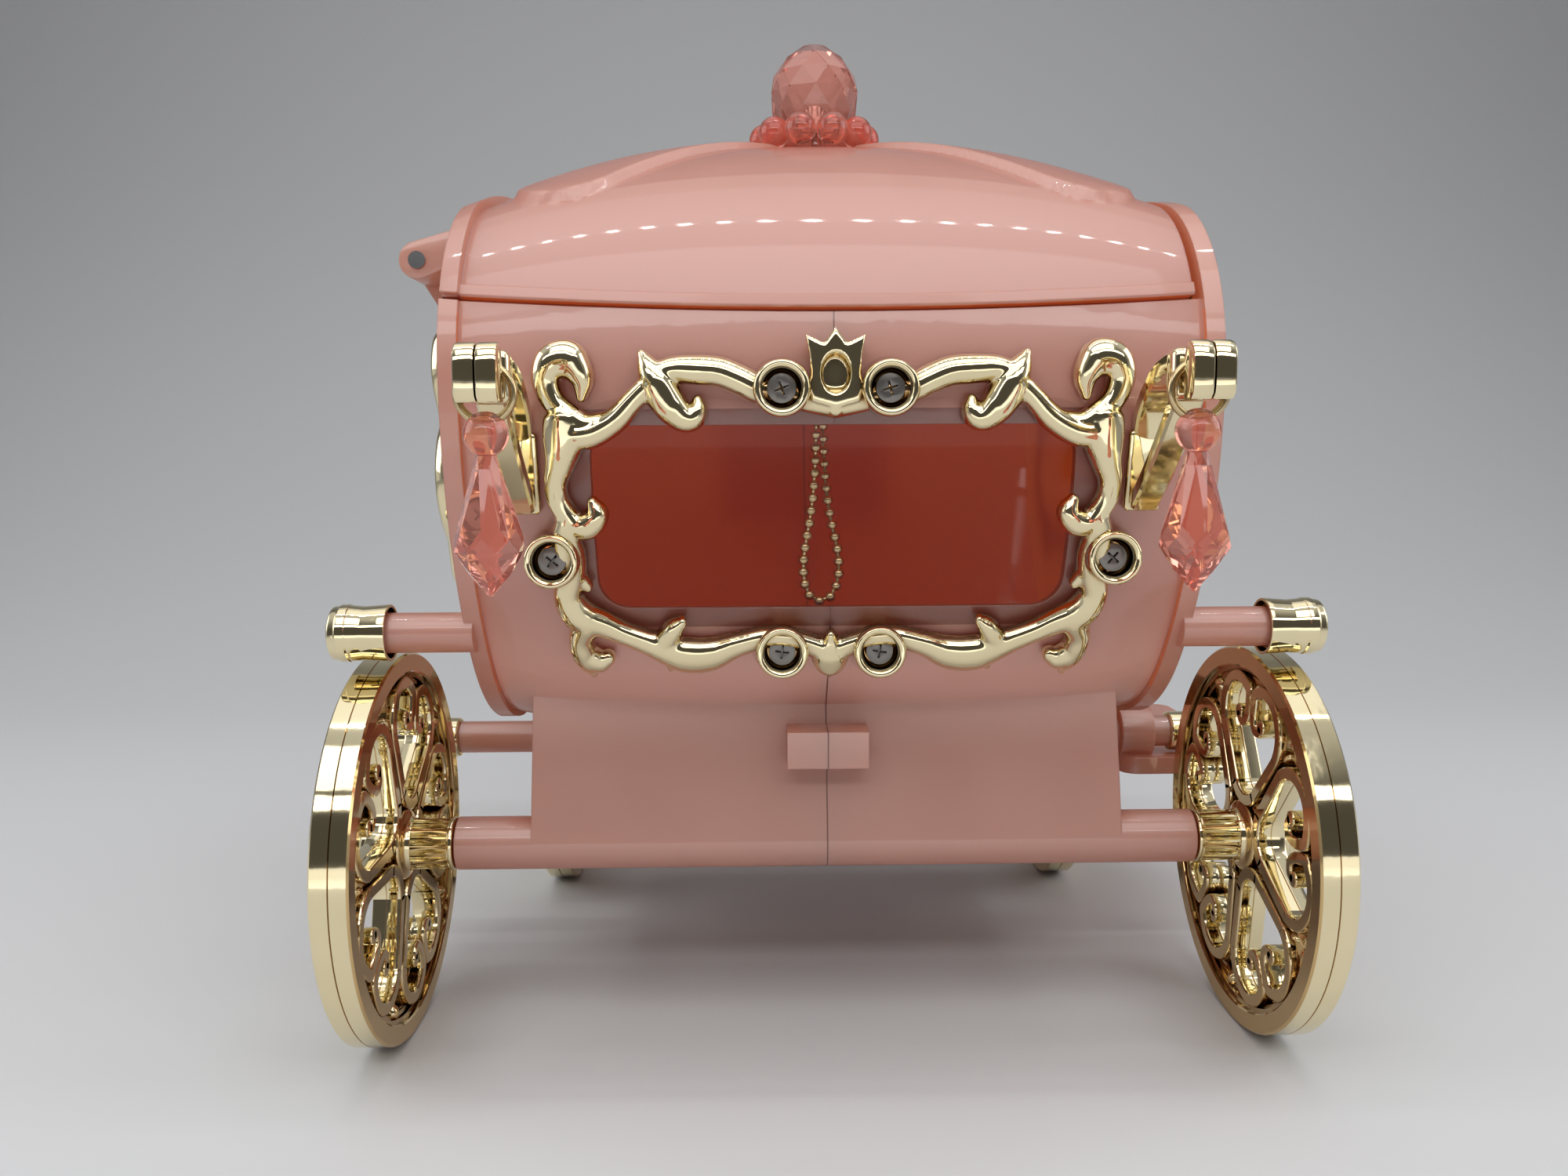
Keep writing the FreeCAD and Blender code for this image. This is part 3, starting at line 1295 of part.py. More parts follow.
plate_bottom = "(sizes.rear_wheel_radius - sizes.axle_tube_radius + sizes.cover_thickness)"
plate_top = "(%s + sizes.bedplate_thickness)" % plate_bottom
bedplate = doc.addObject("PartDesign::Body", "movement_bedplate")
bed_x = "(sizes.bedplate_length / 2)"
bed_y = "(sizes.bedplate_width / 2)"
bed_outline = new_sketch(bedplate, "bed_outline", "XY_Plane")
add_outline(bed_outline, [("-" + bed_x, "-" + bed_y), (bed_x, "-" + bed_y), (bed_x, bed_y), ("-" + bed_x, bed_y)])
add_pad(bedplate, bed_outline, "sizes.bedplate_thickness")
bearings = new_sketch(bedplate, "bearing_posts", "XY_Plane", "sizes.bedplate_thickness")
post_low = "(sizes.cylinder_length / 2 + sizes.running_gap * 5)"
post_high = "(%s + sizes.bearing_thickness)" % post_low
for y_sign in ("-", ""):
    across = "sizes.cylinder_offset"
    add_outline(bearings, [(across + " - 3", y_sign + post_low), (across + " + 3", y_sign + post_low),
                           (across + " + 3", y_sign + post_high), (across + " - 3", y_sign + post_high)])
add_pad(bedplate, bearings, "sizes.cylinder_lift + 3")
comb_block = new_sketch(bedplate, "comb_block", "XY_Plane", "sizes.bedplate_thickness")
comb_back = "(sizes.bedplate_length / 2)"
block_front = "(%s - sizes.comb_length * 0.45)" % comb_back
add_outline(comb_block, [(block_front, "-sizes.comb_width / 2"), (comb_back, "-sizes.comb_width / 2"),
                         (comb_back, "sizes.comb_width / 2"), (block_front, "sizes.comb_width / 2")])
add_pad(bedplate, comb_block, "sizes.cylinder_lift - sizes.comb_thickness / 2")
bearing_bore = new_sketch(bedplate, "bearing_bore", "XZ_Plane")
add_circle(bearing_bore, "sizes.arbor_radius + sizes.running_gap", "sizes.cylinder_offset",
           "sizes.bedplate_thickness + sizes.cylinder_lift")
add_pocket(bedplate, bearing_bore)
bed_holes = new_sketch(bedplate, "bed_holes", "XY_Plane")
add_circle(bed_holes, "sizes.key_shaft_radius + sizes.running_gap", "-sizes.barrel_offset", "0")
add_circle(bed_holes, "sizes.governor_radius * 0.5 + sizes.running_gap", "-2", "-sizes.governor_offset")
add_pocket(bedplate, bed_holes)
place(bedplate, ("0", "0", plate_bottom))
keep(bedplate, "movement_bedplate")

barrel = turned_body("spring_barrel", [
    ("sizes.key_shaft_radius + sizes.running_gap", "0"), ("sizes.barrel_radius", "0"),
    ("sizes.barrel_radius", "sizes.barrel_height * 0.8"),
    ("sizes.barrel_radius + 1", "sizes.barrel_height * 0.8"),
    ("sizes.barrel_radius + 1", "sizes.barrel_height"),
    ("sizes.key_shaft_radius + sizes.running_gap", "sizes.barrel_height"),
])
place(barrel, ("-sizes.barrel_offset", "0", plate_top + " + sizes.barrel_lift"))
keep(barrel, "spring_barrel")

cylinder_end = "(sizes.cylinder_length / 2)"
arbor_end = "(%s + sizes.running_gap * 5 + sizes.bearing_thickness)" % cylinder_end
cylinder = turned_body("pinned_cylinder", [
    ("0", "-" + arbor_end), ("sizes.arbor_radius", "-" + arbor_end),
    ("sizes.arbor_radius", "-" + cylinder_end), ("sizes.cylinder_radius", "-" + cylinder_end),
    ("sizes.cylinder_radius", cylinder_end), ("sizes.arbor_radius", cylinder_end),
    ("sizes.arbor_radius", arbor_end), ("0", arbor_end),
])
place(cylinder, ("sizes.cylinder_offset", "0", plate_top + " + sizes.cylinder_lift"), TURN_TO["+Y"])
keep(cylinder, "pinned_cylinder")

comb = doc.addObject("PartDesign::Body", "tune_comb")
comb_outline = new_sketch(comb, "comb_outline", "XY_Plane")
comb_tip = "(sizes.cylinder_offset + sizes.cylinder_radius + sizes.comb_gap)"
add_outline(comb_outline, [(comb_tip, "-sizes.comb_width / 2"), (comb_back, "-sizes.comb_width / 2"),
                           (comb_back, "sizes.comb_width / 2"), (comb_tip, "sizes.comb_width / 2")])
add_pad(comb, comb_outline, "sizes.comb_thickness")
comb_slots = new_sketch(comb, "comb_slots", "XY_Plane")
for tooth in range(1, COMB_TEETH):
    middle = "(sizes.comb_width * %d / %d - sizes.comb_width / 2)" % (tooth, COMB_TEETH)
    low_edge = middle + " - sizes.comb_slot / 2"
    high_edge = middle + " + sizes.comb_slot / 2"
    add_outline(comb_slots, [(comb_tip + " - 1", low_edge), (block_front + " - 0.4", low_edge),
                             (block_front + " - 0.4", high_edge), (comb_tip + " - 1", high_edge)])
add_pocket(comb, comb_slots)
place(comb, ("0", "0", plate_top + " + sizes.cylinder_lift - sizes.comb_thickness / 2"))
keep(comb, "tune_comb")

governor = turned_body("governor", [
    ("0", "-sizes.bedplate_thickness"), ("sizes.governor_radius * 0.5", "-sizes.bedplate_thickness"),
    ("sizes.governor_radius * 0.5", "0.3"), ("sizes.governor_radius", "0.3"),
    ("sizes.governor_radius", "sizes.governor_height"), ("0", "sizes.governor_height"),
])
fan = new_sketch(governor, "fan_blades", "XZ_Plane")
add_outline(fan, [("-sizes.fan_span / 2", "sizes.governor_height * 0.5"),
                  ("sizes.fan_span / 2", "sizes.governor_height * 0.5"),
                  ("sizes.fan_span / 2", "sizes.governor_height * 0.9"),
                  ("-sizes.fan_span / 2", "sizes.governor_height * 0.9")])
fan_pad = add_pad(governor, fan, "sizes.fan_thickness")
fan_pad.Midplane = True
place(governor, ("-2", "-sizes.governor_offset", plate_top))
keep(governor, "governor")

key_top = "(%s + sizes.barrel_lift + sizes.barrel_height * 0.8)" % plate_top
key_bottom = "(sizes.rear_wheel_radius - sizes.axle_tube_radius - sizes.key_drop)"
winding_key = turned_body("winding_key", [
    ("0", key_bottom + " - 2"), ("sizes.key_shaft_radius", key_bottom + " - 2"),
    ("sizes.key_shaft_radius", key_top), ("0", key_top),
])
bow = new_sketch(winding_key, "key_bow", "XZ_Plane")
bow_low = "(%s - sizes.key_height)" % key_bottom
add_outline(bow, [("-2", key_bottom), ("-sizes.key_width / 2", key_bottom + " - sizes.key_height * 0.2"),
                  ("-sizes.key_width / 2", key_bottom + " - sizes.key_height * 0.8"), ("-2", bow_low),
                  ("2", bow_low), ("sizes.key_width / 2", key_bottom + " - sizes.key_height * 0.8"),
                  ("sizes.key_width / 2", key_bottom + " - sizes.key_height * 0.2"), ("2", key_bottom)])
bow_pad = add_pad(winding_key, bow, "sizes.key_thickness")
bow_pad.Midplane = True
place(winding_key, ("-sizes.barrel_offset", "0", "0"))
keep(winding_key, "winding_key")


# check everything, then write each sub-part to its own file

doc.recompute()
for thing in doc.Objects:
    if "Invalid" in thing.State or "Error" in thing.State:
        raise RuntimeError("%s failed: %s" % (thing.Label, thing.State))
for part in sub_parts:
    if part.Shape.isNull() or not part.Shape.isValid():
        raise RuntimeError("%s has no valid shape" % part.Label)
os.makedirs("parts", exist_ok=True)
for part in sub_parts:
    part.Shape.exportStep("parts/%s.step" % part.Label)
print("%d sub-parts written" % len(sub_parts))
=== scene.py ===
# %% [markdown]
# This notebook dresses a small princess coach music box. The CAD frame gives
# every real size and every joint. Here each visible piece gets its finished
# shape and its surface, and the camera stands where the photographer stood.

# %% Load the frame
import math

import bmesh
import bpy
import numpy as np
from mathutils import Matrix, Vector


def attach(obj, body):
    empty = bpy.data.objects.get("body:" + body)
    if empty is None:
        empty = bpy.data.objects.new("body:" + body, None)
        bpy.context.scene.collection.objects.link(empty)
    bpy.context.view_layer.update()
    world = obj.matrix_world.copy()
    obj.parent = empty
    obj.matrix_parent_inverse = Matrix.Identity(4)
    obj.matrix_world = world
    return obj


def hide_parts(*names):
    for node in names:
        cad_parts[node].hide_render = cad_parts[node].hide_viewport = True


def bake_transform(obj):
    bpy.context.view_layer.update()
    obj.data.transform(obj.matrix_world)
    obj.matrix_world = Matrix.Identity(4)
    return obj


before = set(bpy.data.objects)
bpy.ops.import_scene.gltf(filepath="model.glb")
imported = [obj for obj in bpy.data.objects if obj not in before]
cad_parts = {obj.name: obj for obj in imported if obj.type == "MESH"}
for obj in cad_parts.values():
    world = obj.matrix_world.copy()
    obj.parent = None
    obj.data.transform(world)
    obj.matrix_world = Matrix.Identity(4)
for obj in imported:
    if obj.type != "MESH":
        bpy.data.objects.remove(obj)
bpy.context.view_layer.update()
MM = 0.001

# %% [markdown]
# The camera was found by fitting wheel rims, seams and the floor line. It looks
# at the window end from just below the widest part of the cabin, and a little
# down. The lens is a short one, so near pieces look larger than far ones.

# %% Camera
CAMERA_SPOT_MM = (-11.49, -263.4, 104.15)
LENS_MM = 28.15
SENSOR_MM = 36.0
PITCH_DOWN = 0.1024
YAW_RIGHT = 0.0179
ROLL = -0.0055


def place_camera():
    forward = Vector((math.sin(YAW_RIGHT) * math.cos(PITCH_DOWN),
                      math.cos(YAW_RIGHT) * math.cos(PITCH_DOWN), -math.sin(PITCH_DOWN)))
    right = Vector((math.cos(YAW_RIGHT), -math.sin(YAW_RIGHT), 0))
    up = right.cross(forward)
    across = math.cos(ROLL) * right + math.sin(ROLL) * up
    upward = -math.sin(ROLL) * right + math.cos(ROLL) * up
    data = bpy.data.cameras.new("camera")
    data.sensor_fit = "HORIZONTAL"
    data.sensor_width = SENSOR_MM
    data.lens = LENS_MM
    data.clip_start = 0.01
    camera = bpy.data.objects.new("camera", data)
    turn = Matrix((across, upward, -forward)).transposed().to_4x4()
    camera.matrix_world = Matrix.Translation(Vector(CAMERA_SPOT_MM) * MM) @ turn
    bpy.context.scene.collection.objects.link(camera)
    bpy.context.scene.camera = camera
    return camera


camera = place_camera()
print("camera at", [round(c, 4) for c in camera.location])

# %% [markdown]
# The coach stands on one sweep of pale grey card. The floor curves up into the
# back wall, as in a photographer's studio, so no line shows between them.

# %% Studio card
FLOOR_NEAR = -1400.0
FLOOR_FAR = 250.0
SWEEP_RADIUS = 450.0
SWEEP_STEPS = 16
CARD_TOP = 1700.0
CARD_HALF = 1600.0


def link(obj):
    bpy.context.scene.collection.objects.link(obj)
    return obj


def build_mesh(name, verts, faces, smooth_angle=40.0):
    """Mesh object from points in millimetres, smooth except at sharp edges."""
    mesh = bpy.data.meshes.new(name)
    mesh.from_pydata([tuple(c * MM for c in v) for v in verts], [], faces)
    mesh.validate()
    mesh.update()
    mesh.polygons.foreach_set("use_smooth", [True] * len(mesh.polygons))
    mesh.set_sharp_from_angle(angle=math.radians(smooth_angle))
    return link(bpy.data.objects.new(name, mesh))


def plain_material(name, colour, roughness):
    material = bpy.data.materials.new(name)
    material.use_nodes = True
    shader = material.node_tree.nodes["Principled BSDF"]
    shader.inputs["Base Color"].default_value = (*colour, 1)
    shader.inputs["Roughness"].default_value = roughness
    return material


def sweep_backdrop():
    """Floor that curves up into a back wall."""
    profile = [(FLOOR_NEAR, 0.0), (FLOOR_FAR, 0.0)]
    for step in range(1, SWEEP_STEPS + 1):
        turn = math.radians(90) * step / SWEEP_STEPS
        profile.append((FLOOR_FAR + SWEEP_RADIUS * math.sin(turn), SWEEP_RADIUS * (1 - math.cos(turn))))
    profile.append((FLOOR_FAR + SWEEP_RADIUS, CARD_TOP))
    verts = [(x, y, z) for y, z in profile for x in (-CARD_HALF, CARD_HALF)]
    faces = [(2 * i, 2 * i + 1, 2 * i + 3, 2 * i + 2) for i in range(len(profile) - 1)]
    card = build_mesh("studio_sweep", verts, faces, 60)
    card.data.materials.append(plain_material("studio_card", (0.62, 0.625, 0.635), 0.5))
    return card


sweep_backdrop()
print("studio card:", round(2 * CARD_HALF), "mm wide")

# %% [markdown]
# Surfaces and the tent's light are drawn by maths, not by a picture. Each is a
# small tree of nodes, and these helpers add one node, one sum or one mix, so
# that the recipes further down stay short.

# %% Node helpers
def add_node(tree, kind, inputs=None, **properties):
    """Shader node; each input takes a constant or the output of another node."""
    node = tree.nodes.new("ShaderNode" + kind)
    for key, value in properties.items():
        setattr(node, key, value)
    for key, value in (inputs or {}).items():
        if isinstance(value, bpy.types.NodeSocket):
            tree.links.new(value, node.inputs[key])
        else:
            node.inputs[key].default_value = value
    return node


def opaque(colour):
    return (*colour, 1.0)


def calculate(tree, operation, first, second):
    return add_node(tree, "Math", {0: first, 1: second}, operation=operation).outputs["Value"]


def map_range(tree, value, low, high, to=(0.0, 1.0), kind="LINEAR"):
    """Stretch a value from one range to another, and stop at the ends."""
    inputs = {"Value": value, "From Min": low, "From Max": high, "To Min": to[0], "To Max": to[1]}
    return add_node(tree, "MapRange", inputs, interpolation_type=kind).outputs["Result"]


def mix_colours(tree, share, first, second):
    inputs = {"Factor": share, "A": first, "B": second}
    return add_node(tree, "Mix", inputs, data_type="RGBA").outputs["Result"]


def axes_of(tree, kind):
    """X, Y and Z of a place or a direction on the surface."""
    source = add_node(tree, "TexCoord").outputs[kind]
    return add_node(tree, "SeparateXYZ", {"Vector": source}).outputs


print("node helpers:", [f.__name__ for f in (add_node, calculate, map_range, mix_colours, axes_of)])

# %% [markdown]
# Wide panels light the coach from above and from both sides, and a row of
# small lamps leaves a line of bright dots on the lid. The tent round it all
# is darker at the open side, where the camera stands.

# %% Lights
TENT_PANELS = {
    "tent_top": ((0, 120, 620), (0, 20, 90), (700, 420), 0.55),
    "tent_front": ((0, -330, 520), (0, -60, 90), (620, 260), 1.0),
    "tent_left": ((-560, -60, 330), (0, 0, 90), (420, 380), 0.8),
    "tent_right": ((560, -60, 330), (0, 0, 90), (420, 380), 0.8),
    "tent_brow": ((0, -470, 385), (0, -20, 120), (900, 70), 0.85),
    "floor_bounce": ((0, -430, 25), (0, -60, 80), (760, 90), 0.24),
}
LAMPS = 26
LAMP_STEP = 31.0
LAMP_SIZE = (9, 9)
LAMP_LINE = (-85, 620)
LAMP_AIM = (0, -60, 120)
LAMP_WATTS = 0.024
TENT_DARK = (0.11, 0.105, 0.10)
TENT_BRIGHT = (0.80, 0.81, 0.83)
TENT_STRENGTH = 0.74
TENT_FADE = (-0.75, -0.10)


def area_light(name, spot_mm, aim_mm, size_mm, watts):
    """Rectangular light that faces a point."""
    data = bpy.data.lights.new(name, "AREA")
    data.shape = "RECTANGLE"
    data.size = size_mm[0] * MM
    data.size_y = size_mm[1] * MM
    data.energy = watts
    light = link(bpy.data.objects.new(name, data))
    spot = Vector(spot_mm) * MM
    light.location = spot
    light.rotation_euler = (Vector(aim_mm) * MM - spot).to_track_quat("-Z", "Y").to_euler()


def tent_world():
    """Even light all round, falling off towards the open side where the camera stands."""
    world = bpy.data.worlds.new("tent")
    bpy.context.scene.world = world
    world.use_nodes = True
    tree = world.node_tree
    depth = axes_of(tree, "Generated")["Y"]
    fade = map_range(tree, depth, *TENT_FADE, kind="SMOOTHSTEP")
    background = tree.nodes["Background"]
    shade = mix_colours(tree, fade, opaque(TENT_DARK), opaque(TENT_BRIGHT))
    tree.links.new(shade, background.inputs["Color"])
    background.inputs["Strength"].default_value = TENT_STRENGTH


for name, panel in TENT_PANELS.items():
    area_light(name, *panel)
for index in range(LAMPS):
    x = LAMP_STEP * (index - (LAMPS - 1) / 2)
    area_light("lamp_%d" % index, (x, *LAMP_LINE), LAMP_AIM, LAMP_SIZE, LAMP_WATTS)
tent_world()
bpy.context.scene.view_settings.view_transform = "Standard"

# %% [markdown]
# Pearl plastic has a faint mottle in its colour and its shine. Metallised gold
# has tiny waves, as the plastic under the metal is never quite flat. One
# recipe serves them all, with other numbers.

# %% Mottled recipe
MOTTLE_SCALE = 60.0
BUMP_DISTANCE = 0.0004


def noise_on(tree, scale, detail):
    place = add_node(tree, "TexCoord").outputs["Object"]
    return add_node(tree, "TexNoise", {"Scale": scale, "Detail": detail, "Vector": place}).outputs["Fac"]


def mottled(name, dark, light, roughness, bump=0.02, bump_scale=900.0, edge_mm=0.0, **inputs):
    """Principled material with colour mottle, uneven shine, a fine bump and softened edges."""
    material = plain_material(name, light, roughness)
    tree = material.node_tree
    shader = tree.nodes["Principled BSDF"]
    for key, value in inputs.items():
        shader.inputs[key.replace("_", " ")].default_value = value
    cloud = noise_on(tree, MOTTLE_SCALE, 3.0)
    shade = mix_colours(tree, cloud, opaque(dark), opaque(light))
    shine = map_range(tree, cloud, 0.0, 1.0, (roughness * 0.8, roughness * 1.25))
    grain = noise_on(tree, bump_scale, 2.0)
    relief = add_node(tree, "Bump", {"Strength": bump, "Distance": BUMP_DISTANCE, "Height": grain})
    if edge_mm:
        soft_edge = add_node(tree, "Bevel", {"Radius": edge_mm * MM})
        tree.links.new(soft_edge.outputs["Normal"], relief.inputs["Normal"])
    tree.links.new(shade, shader.inputs["Base Color"])
    tree.links.new(shine, shader.inputs["Roughness"])
    tree.links.new(relief.outputs["Normal"], shader.inputs["Normal"])
    return material


# The cabin floor's deep orange is painted glow, for the light that comes through the pink walls.
CABIN_FLOOR_GLOW = mottled("cabin_inside_glow", (0.80, 0.19, 0.07), (0.88, 0.24, 0.10), 0.34, bump=0.03)
SALMON = mottled("salmon_acrylic", (0.95, 0.35, 0.26), (0.97, 0.45, 0.36), 0.03, bump=0.0,
                 Transmission_Weight=0.86, IOR=1.49)
METALS = {
    "brass_plain": ((0.50, 0.38, 0.20), (0.66, 0.52, 0.30), 0.24),
    "steel_bright": ((0.42, 0.42, 0.43), (0.55, 0.55, 0.56), 0.26),
    "screw_dark": ((0.16, 0.15, 0.14), (0.26, 0.24, 0.22), 0.34),
    "chain_brass": ((0.46, 0.34, 0.18), (0.62, 0.48, 0.28), 0.26),
}
BRASS, STEEL, DARK, CHAIN = [mottled(name, *look, bump=0.05, Metallic=1.0) for name, look in METALS.items()]
print("materials:", len(bpy.data.materials))

# %% [markdown]
# Light and shade are painted into some colours here. Deep orange on the faces
# inside the cabin is painted glow of light through the pink walls. A paler
# pearl where the near wall curves under is painted light bounced up from the
# floor, and a dark strip behind the window frame is painted shade of the
# cabin. The wheels' inward faces get a painted reflection of the pink coach,
# the gold gets painted shade in its crevices, and the seam is dark. These
# helpers lay a second colour over the first where a mask says so.

# %% Colour zones
CABIN_MIDDLE = (0.0, 0.0, 0.105)
INWARD_LEAN = -0.004
BELLY_LIGHT_BOX = {"X": (-58.8, 58.8), "Y": (-73.5, 0.0)}
BELLY_LIGHT_FADES = ((84.0, 66.0), (50.0, 64.0))
INWARD_REFLECTION_FADE = (-0.03, -0.05)
CREVICE_SHADE_FADE = (0.85, 0.25)


def repaint(material, colour, share):
    """Lay a colour over a material's own, by a share from 0 to 1."""
    tree = material.node_tree
    skin = tree.nodes["Principled BSDF"].inputs["Base Color"]
    shade = mix_colours(tree, share, skin.links[0].from_socket, opaque(colour))
    tree.links.new(shade, skin)


def box_share(tree, **bounds_mm):
    """1 inside a box given by some of X, Y and Z, else 0."""
    axes = axes_of(tree, "Object")
    share = 1.0
    for axis, (low, high) in bounds_mm.items():
        for operation, bound in (("GREATER_THAN", low), ("LESS_THAN", high)):
            share = calculate(tree, "MULTIPLY", share, calculate(tree, operation, axes[axis], bound * MM))
    return share


def tint_zone(material, colour, **bounds_mm):
    """Give one box of space its own colour on a material."""
    repaint(material, colour, box_share(material.node_tree, **bounds_mm))


def paint_inside_glow(material, colour, **bounds_mm):
    """Paint a deeper colour on the faces that look into the cabin: painted glow of the light that comes
    through the pink walls.
    """
    tree = material.node_tree
    coords = add_node(tree, "TexCoord").outputs
    away = add_node(tree, "VectorMath", {0: coords["Object"], 1: CABIN_MIDDLE}, operation="SUBTRACT")
    facing = {0: coords["Normal"], 1: away.outputs["Vector"]}
    lean = add_node(tree, "VectorMath", facing, operation="DOT_PRODUCT").outputs["Value"]
    inward = calculate(tree, "LESS_THAN", lean, INWARD_LEAN)
    repaint(material, colour, calculate(tree, "MULTIPLY", inward, box_share(tree, **bounds_mm)))


def painted_belly_light(material, colour):
    """Fade to a paler pearl where the near wall curves under: painted light, for light bounced up from the
    floor.
    """
    tree = material.node_tree
    share = box_share(tree, **BELLY_LIGHT_BOX)
    height = axes_of(tree, "Object")["Z"]
    for low, high in BELLY_LIGHT_FADES:
        fade = map_range(tree, height, low * MM, high * MM, kind="SMOOTHSTEP")
        share = calculate(tree, "MULTIPLY", fade, share)
    repaint(material, colour, share)


def painted_inward_reflection(material, colour):
    """Warmer colour on the faces that look towards the coach: a painted reflection of the pink coach, in
    shade.
    """
    tree = material.node_tree
    outward = calculate(tree, "MULTIPLY", axes_of(tree, "Object")["X"], axes_of(tree, "Normal")["X"])
    repaint(material, colour, map_range(tree, outward, *INWARD_REFLECTION_FADE))


def painted_crevice_shade(material, colour, reach_mm):
    """Deepen the colour where surfaces crowd together: painted shade in the crevices."""
    tree = material.node_tree
    openness = add_node(tree, "AmbientOcclusion", {"Distance": reach_mm * MM}, samples=6).outputs["AO"]
    repaint(material, colour, map_range(tree, openness, *CREVICE_SHADE_FADE))


GOLDEN = ((0.75, 0.64, 0.39), (0.86, 0.76, 0.51))
GOLD, WHEEL_GOLD = [mottled(name, *GOLDEN, 0.07, bump=0.06, bump_scale=260.0, Metallic=1.0)
                    for name in ("gold_metallised", "gold_wheel")]
# Painted reflection: the wheels' inward faces take the warm colour of the pink coach they face.
painted_inward_reflection(WHEEL_GOLD, (0.64, 0.45, 0.21))
# Painted shade: the gold turns dark brown in its crevices.
for plating in (GOLD, WHEEL_GOLD):
    painted_crevice_shade(plating, (0.30, 0.17, 0.07), 2.2)
print("nodes in the wheels' gold:", len(WHEEL_GOLD.node_tree.nodes))

# %% [markdown]
# Thin pearl plastic lets part of the light go on through the wall, which is
# why the cabin glows. The window pane is a clear sheet. It shines more at a
# slant, and only its front shines, so that light gets out again at the back.

# %% Pearl plastic and clear sheet
PINK = ((0.59, 0.275, 0.205), (0.65, 0.325, 0.25))
# Painted glow: the deep orange of light through the pink walls, laid on the faces inside the cabin.
INSIDE_GLOW = (0.88, 0.21, 0.05)
HAZE_SCALE = 120.0
PANE_IOR = 1.3


def join_shaders(tree, share, first, second):
    """Mix two shaders and send the result to the surface."""
    mix = add_node(tree, "MixShader", {"Fac": share, 1: first.outputs["BSDF"], 2: second.outputs["BSDF"]})
    tree.links.new(mix.outputs["Shader"], tree.nodes["Material Output"].inputs["Surface"])


def let_light_through(material, share, colour):
    """Thin plastic: part of the light goes on through the wall."""
    tree = material.node_tree
    glow = add_node(tree, "BsdfTranslucent", {"Color": opaque(colour)})
    join_shaders(tree, share, tree.nodes["Principled BSDF"], glow)


def thin_clear(name, roughness, tint):
    """Clear sheet that lets light through and shines more at a slant."""
    material = plain_material(name, (1, 1, 1), roughness)
    tree = material.node_tree
    tree.nodes.remove(tree.nodes["Principled BSDF"])
    through = add_node(tree, "BsdfTransparent", {"Color": opaque(tint)})
    haze = map_range(tree, noise_on(tree, HAZE_SCALE, 3.0), 0.0, 1.0, (roughness * 0.7, roughness * 1.5))
    shine = add_node(tree, "BsdfGlossy", {"Roughness": haze})
    slant = add_node(tree, "Fresnel", {"IOR": PANE_IOR}).outputs["Fac"]
    front = calculate(tree, "SUBTRACT", 1.0, add_node(tree, "NewGeometry").outputs["Backfacing"])
    join_shaders(tree, calculate(tree, "MULTIPLY", slant, front), through, shine)
    return material


PEARL, SHELL = [mottled(name, *PINK, 0.44, edge_mm=0.45, IOR=2.5, Coat_Weight=0.8, Coat_Roughness=0.05,
                        Coat_IOR=1.5) for name in ("pearl_pink", "pearl_pink_shell")]
# Painted glow: deep orange on the inside faces of the lid and the cabin.
paint_inside_glow(PEARL, INSIDE_GLOW, X=(-58.5, 57.2), Y=(-70.5, 70.5), Z=(127.0, 200.0))
# Painted light on the under-curve of the near wall, as if bounced up from the floor.
painted_belly_light(SHELL, (0.93, 0.58, 0.48))
paint_inside_glow(SHELL, INSIDE_GLOW, X=(-59.5, 59.5), Y=(-70.5, 70.5), Z=(63.0, 128.0))
tint_zone(SHELL, (0.24, 0.09, 0.06), X=(-0.13, 0.13))
# Painted shade: a dark strip on the wall behind the window frame, for the shaded cabin seen through the
# opening.
tint_zone(SHELL, (0.16, 0.025, 0.006), X=(-42.5, 42.5), Y=(-200.0, -50.0), Z=(76.5, 112.5))
for plastic in (PEARL, SHELL):
    let_light_through(plastic, 0.36, (0.95, 0.46, 0.22))
CLEAR = thin_clear("clear_pane", 0.05, (0.97, 0.96, 0.95))
print("materials:", len(bpy.data.materials))

# %% [markdown]
# The cabin is a barrel. Its side outline is four arcs that touch without a
# kink, and it swells from the rims to the middle. The same formulas as the
# CAD are used here, so that trim made in this notebook lies on the real wall.

# %% Cabin formulas
HALF_WIDTH = 62.0
RIM_WIDTH = 3.0
WALL = 2.0
WIDEST = 118.0
SIDE = {"length": 67.0, "top": 153.0, "shoulder": 30.0}
CROWN = {"length": 70.0, "top": 166.5, "shoulder": 40.0}
BELLY = 75.0
# at 0.62 of the half width, 0.7 of the swell is left
SWELL = math.log(1 - 0.7) / math.log(0.62)
SPLIT = 130.0
SPLIT_DIP = 2.5
SIDES = {"left": -1, "right": 1}


def swell_at(x):
    return 1 - abs(x / HALF_WIDTH) ** SWELL


def section_at(x):
    crown = swell_at(x)
    return {key: SIDE[key] + (CROWN[key] - SIDE[key]) * crown for key in SIDE}


def wall_depth(x, z):
    """Distance from the middle plane to the outside of the end wall."""
    part = section_at(x)
    if z < WIDEST:
        return part["length"] - BELLY + math.sqrt(BELLY ** 2 - (z - WIDEST) ** 2)
    shoulder = part["shoulder"]
    return part["length"] - shoulder + math.sqrt(max(0.0, shoulder ** 2 - (z - WIDEST) ** 2))


def wall_normal(x, z, step=0.2):
    slope_x = (wall_depth(x + step, z) - wall_depth(x - step, z)) / (2 * step)
    slope_z = (wall_depth(x, z + step) - wall_depth(x, z - step)) / (2 * step)
    return Vector((-slope_x, -1.0, -slope_z)).normalized()


def on_wall(x, z, lift):
    return Vector((x, -wall_depth(x, z), z)) + wall_normal(x, z) * lift


print("wall at the window's middle:", round(wall_depth(0, 95), 2), "mm from the middle plane")

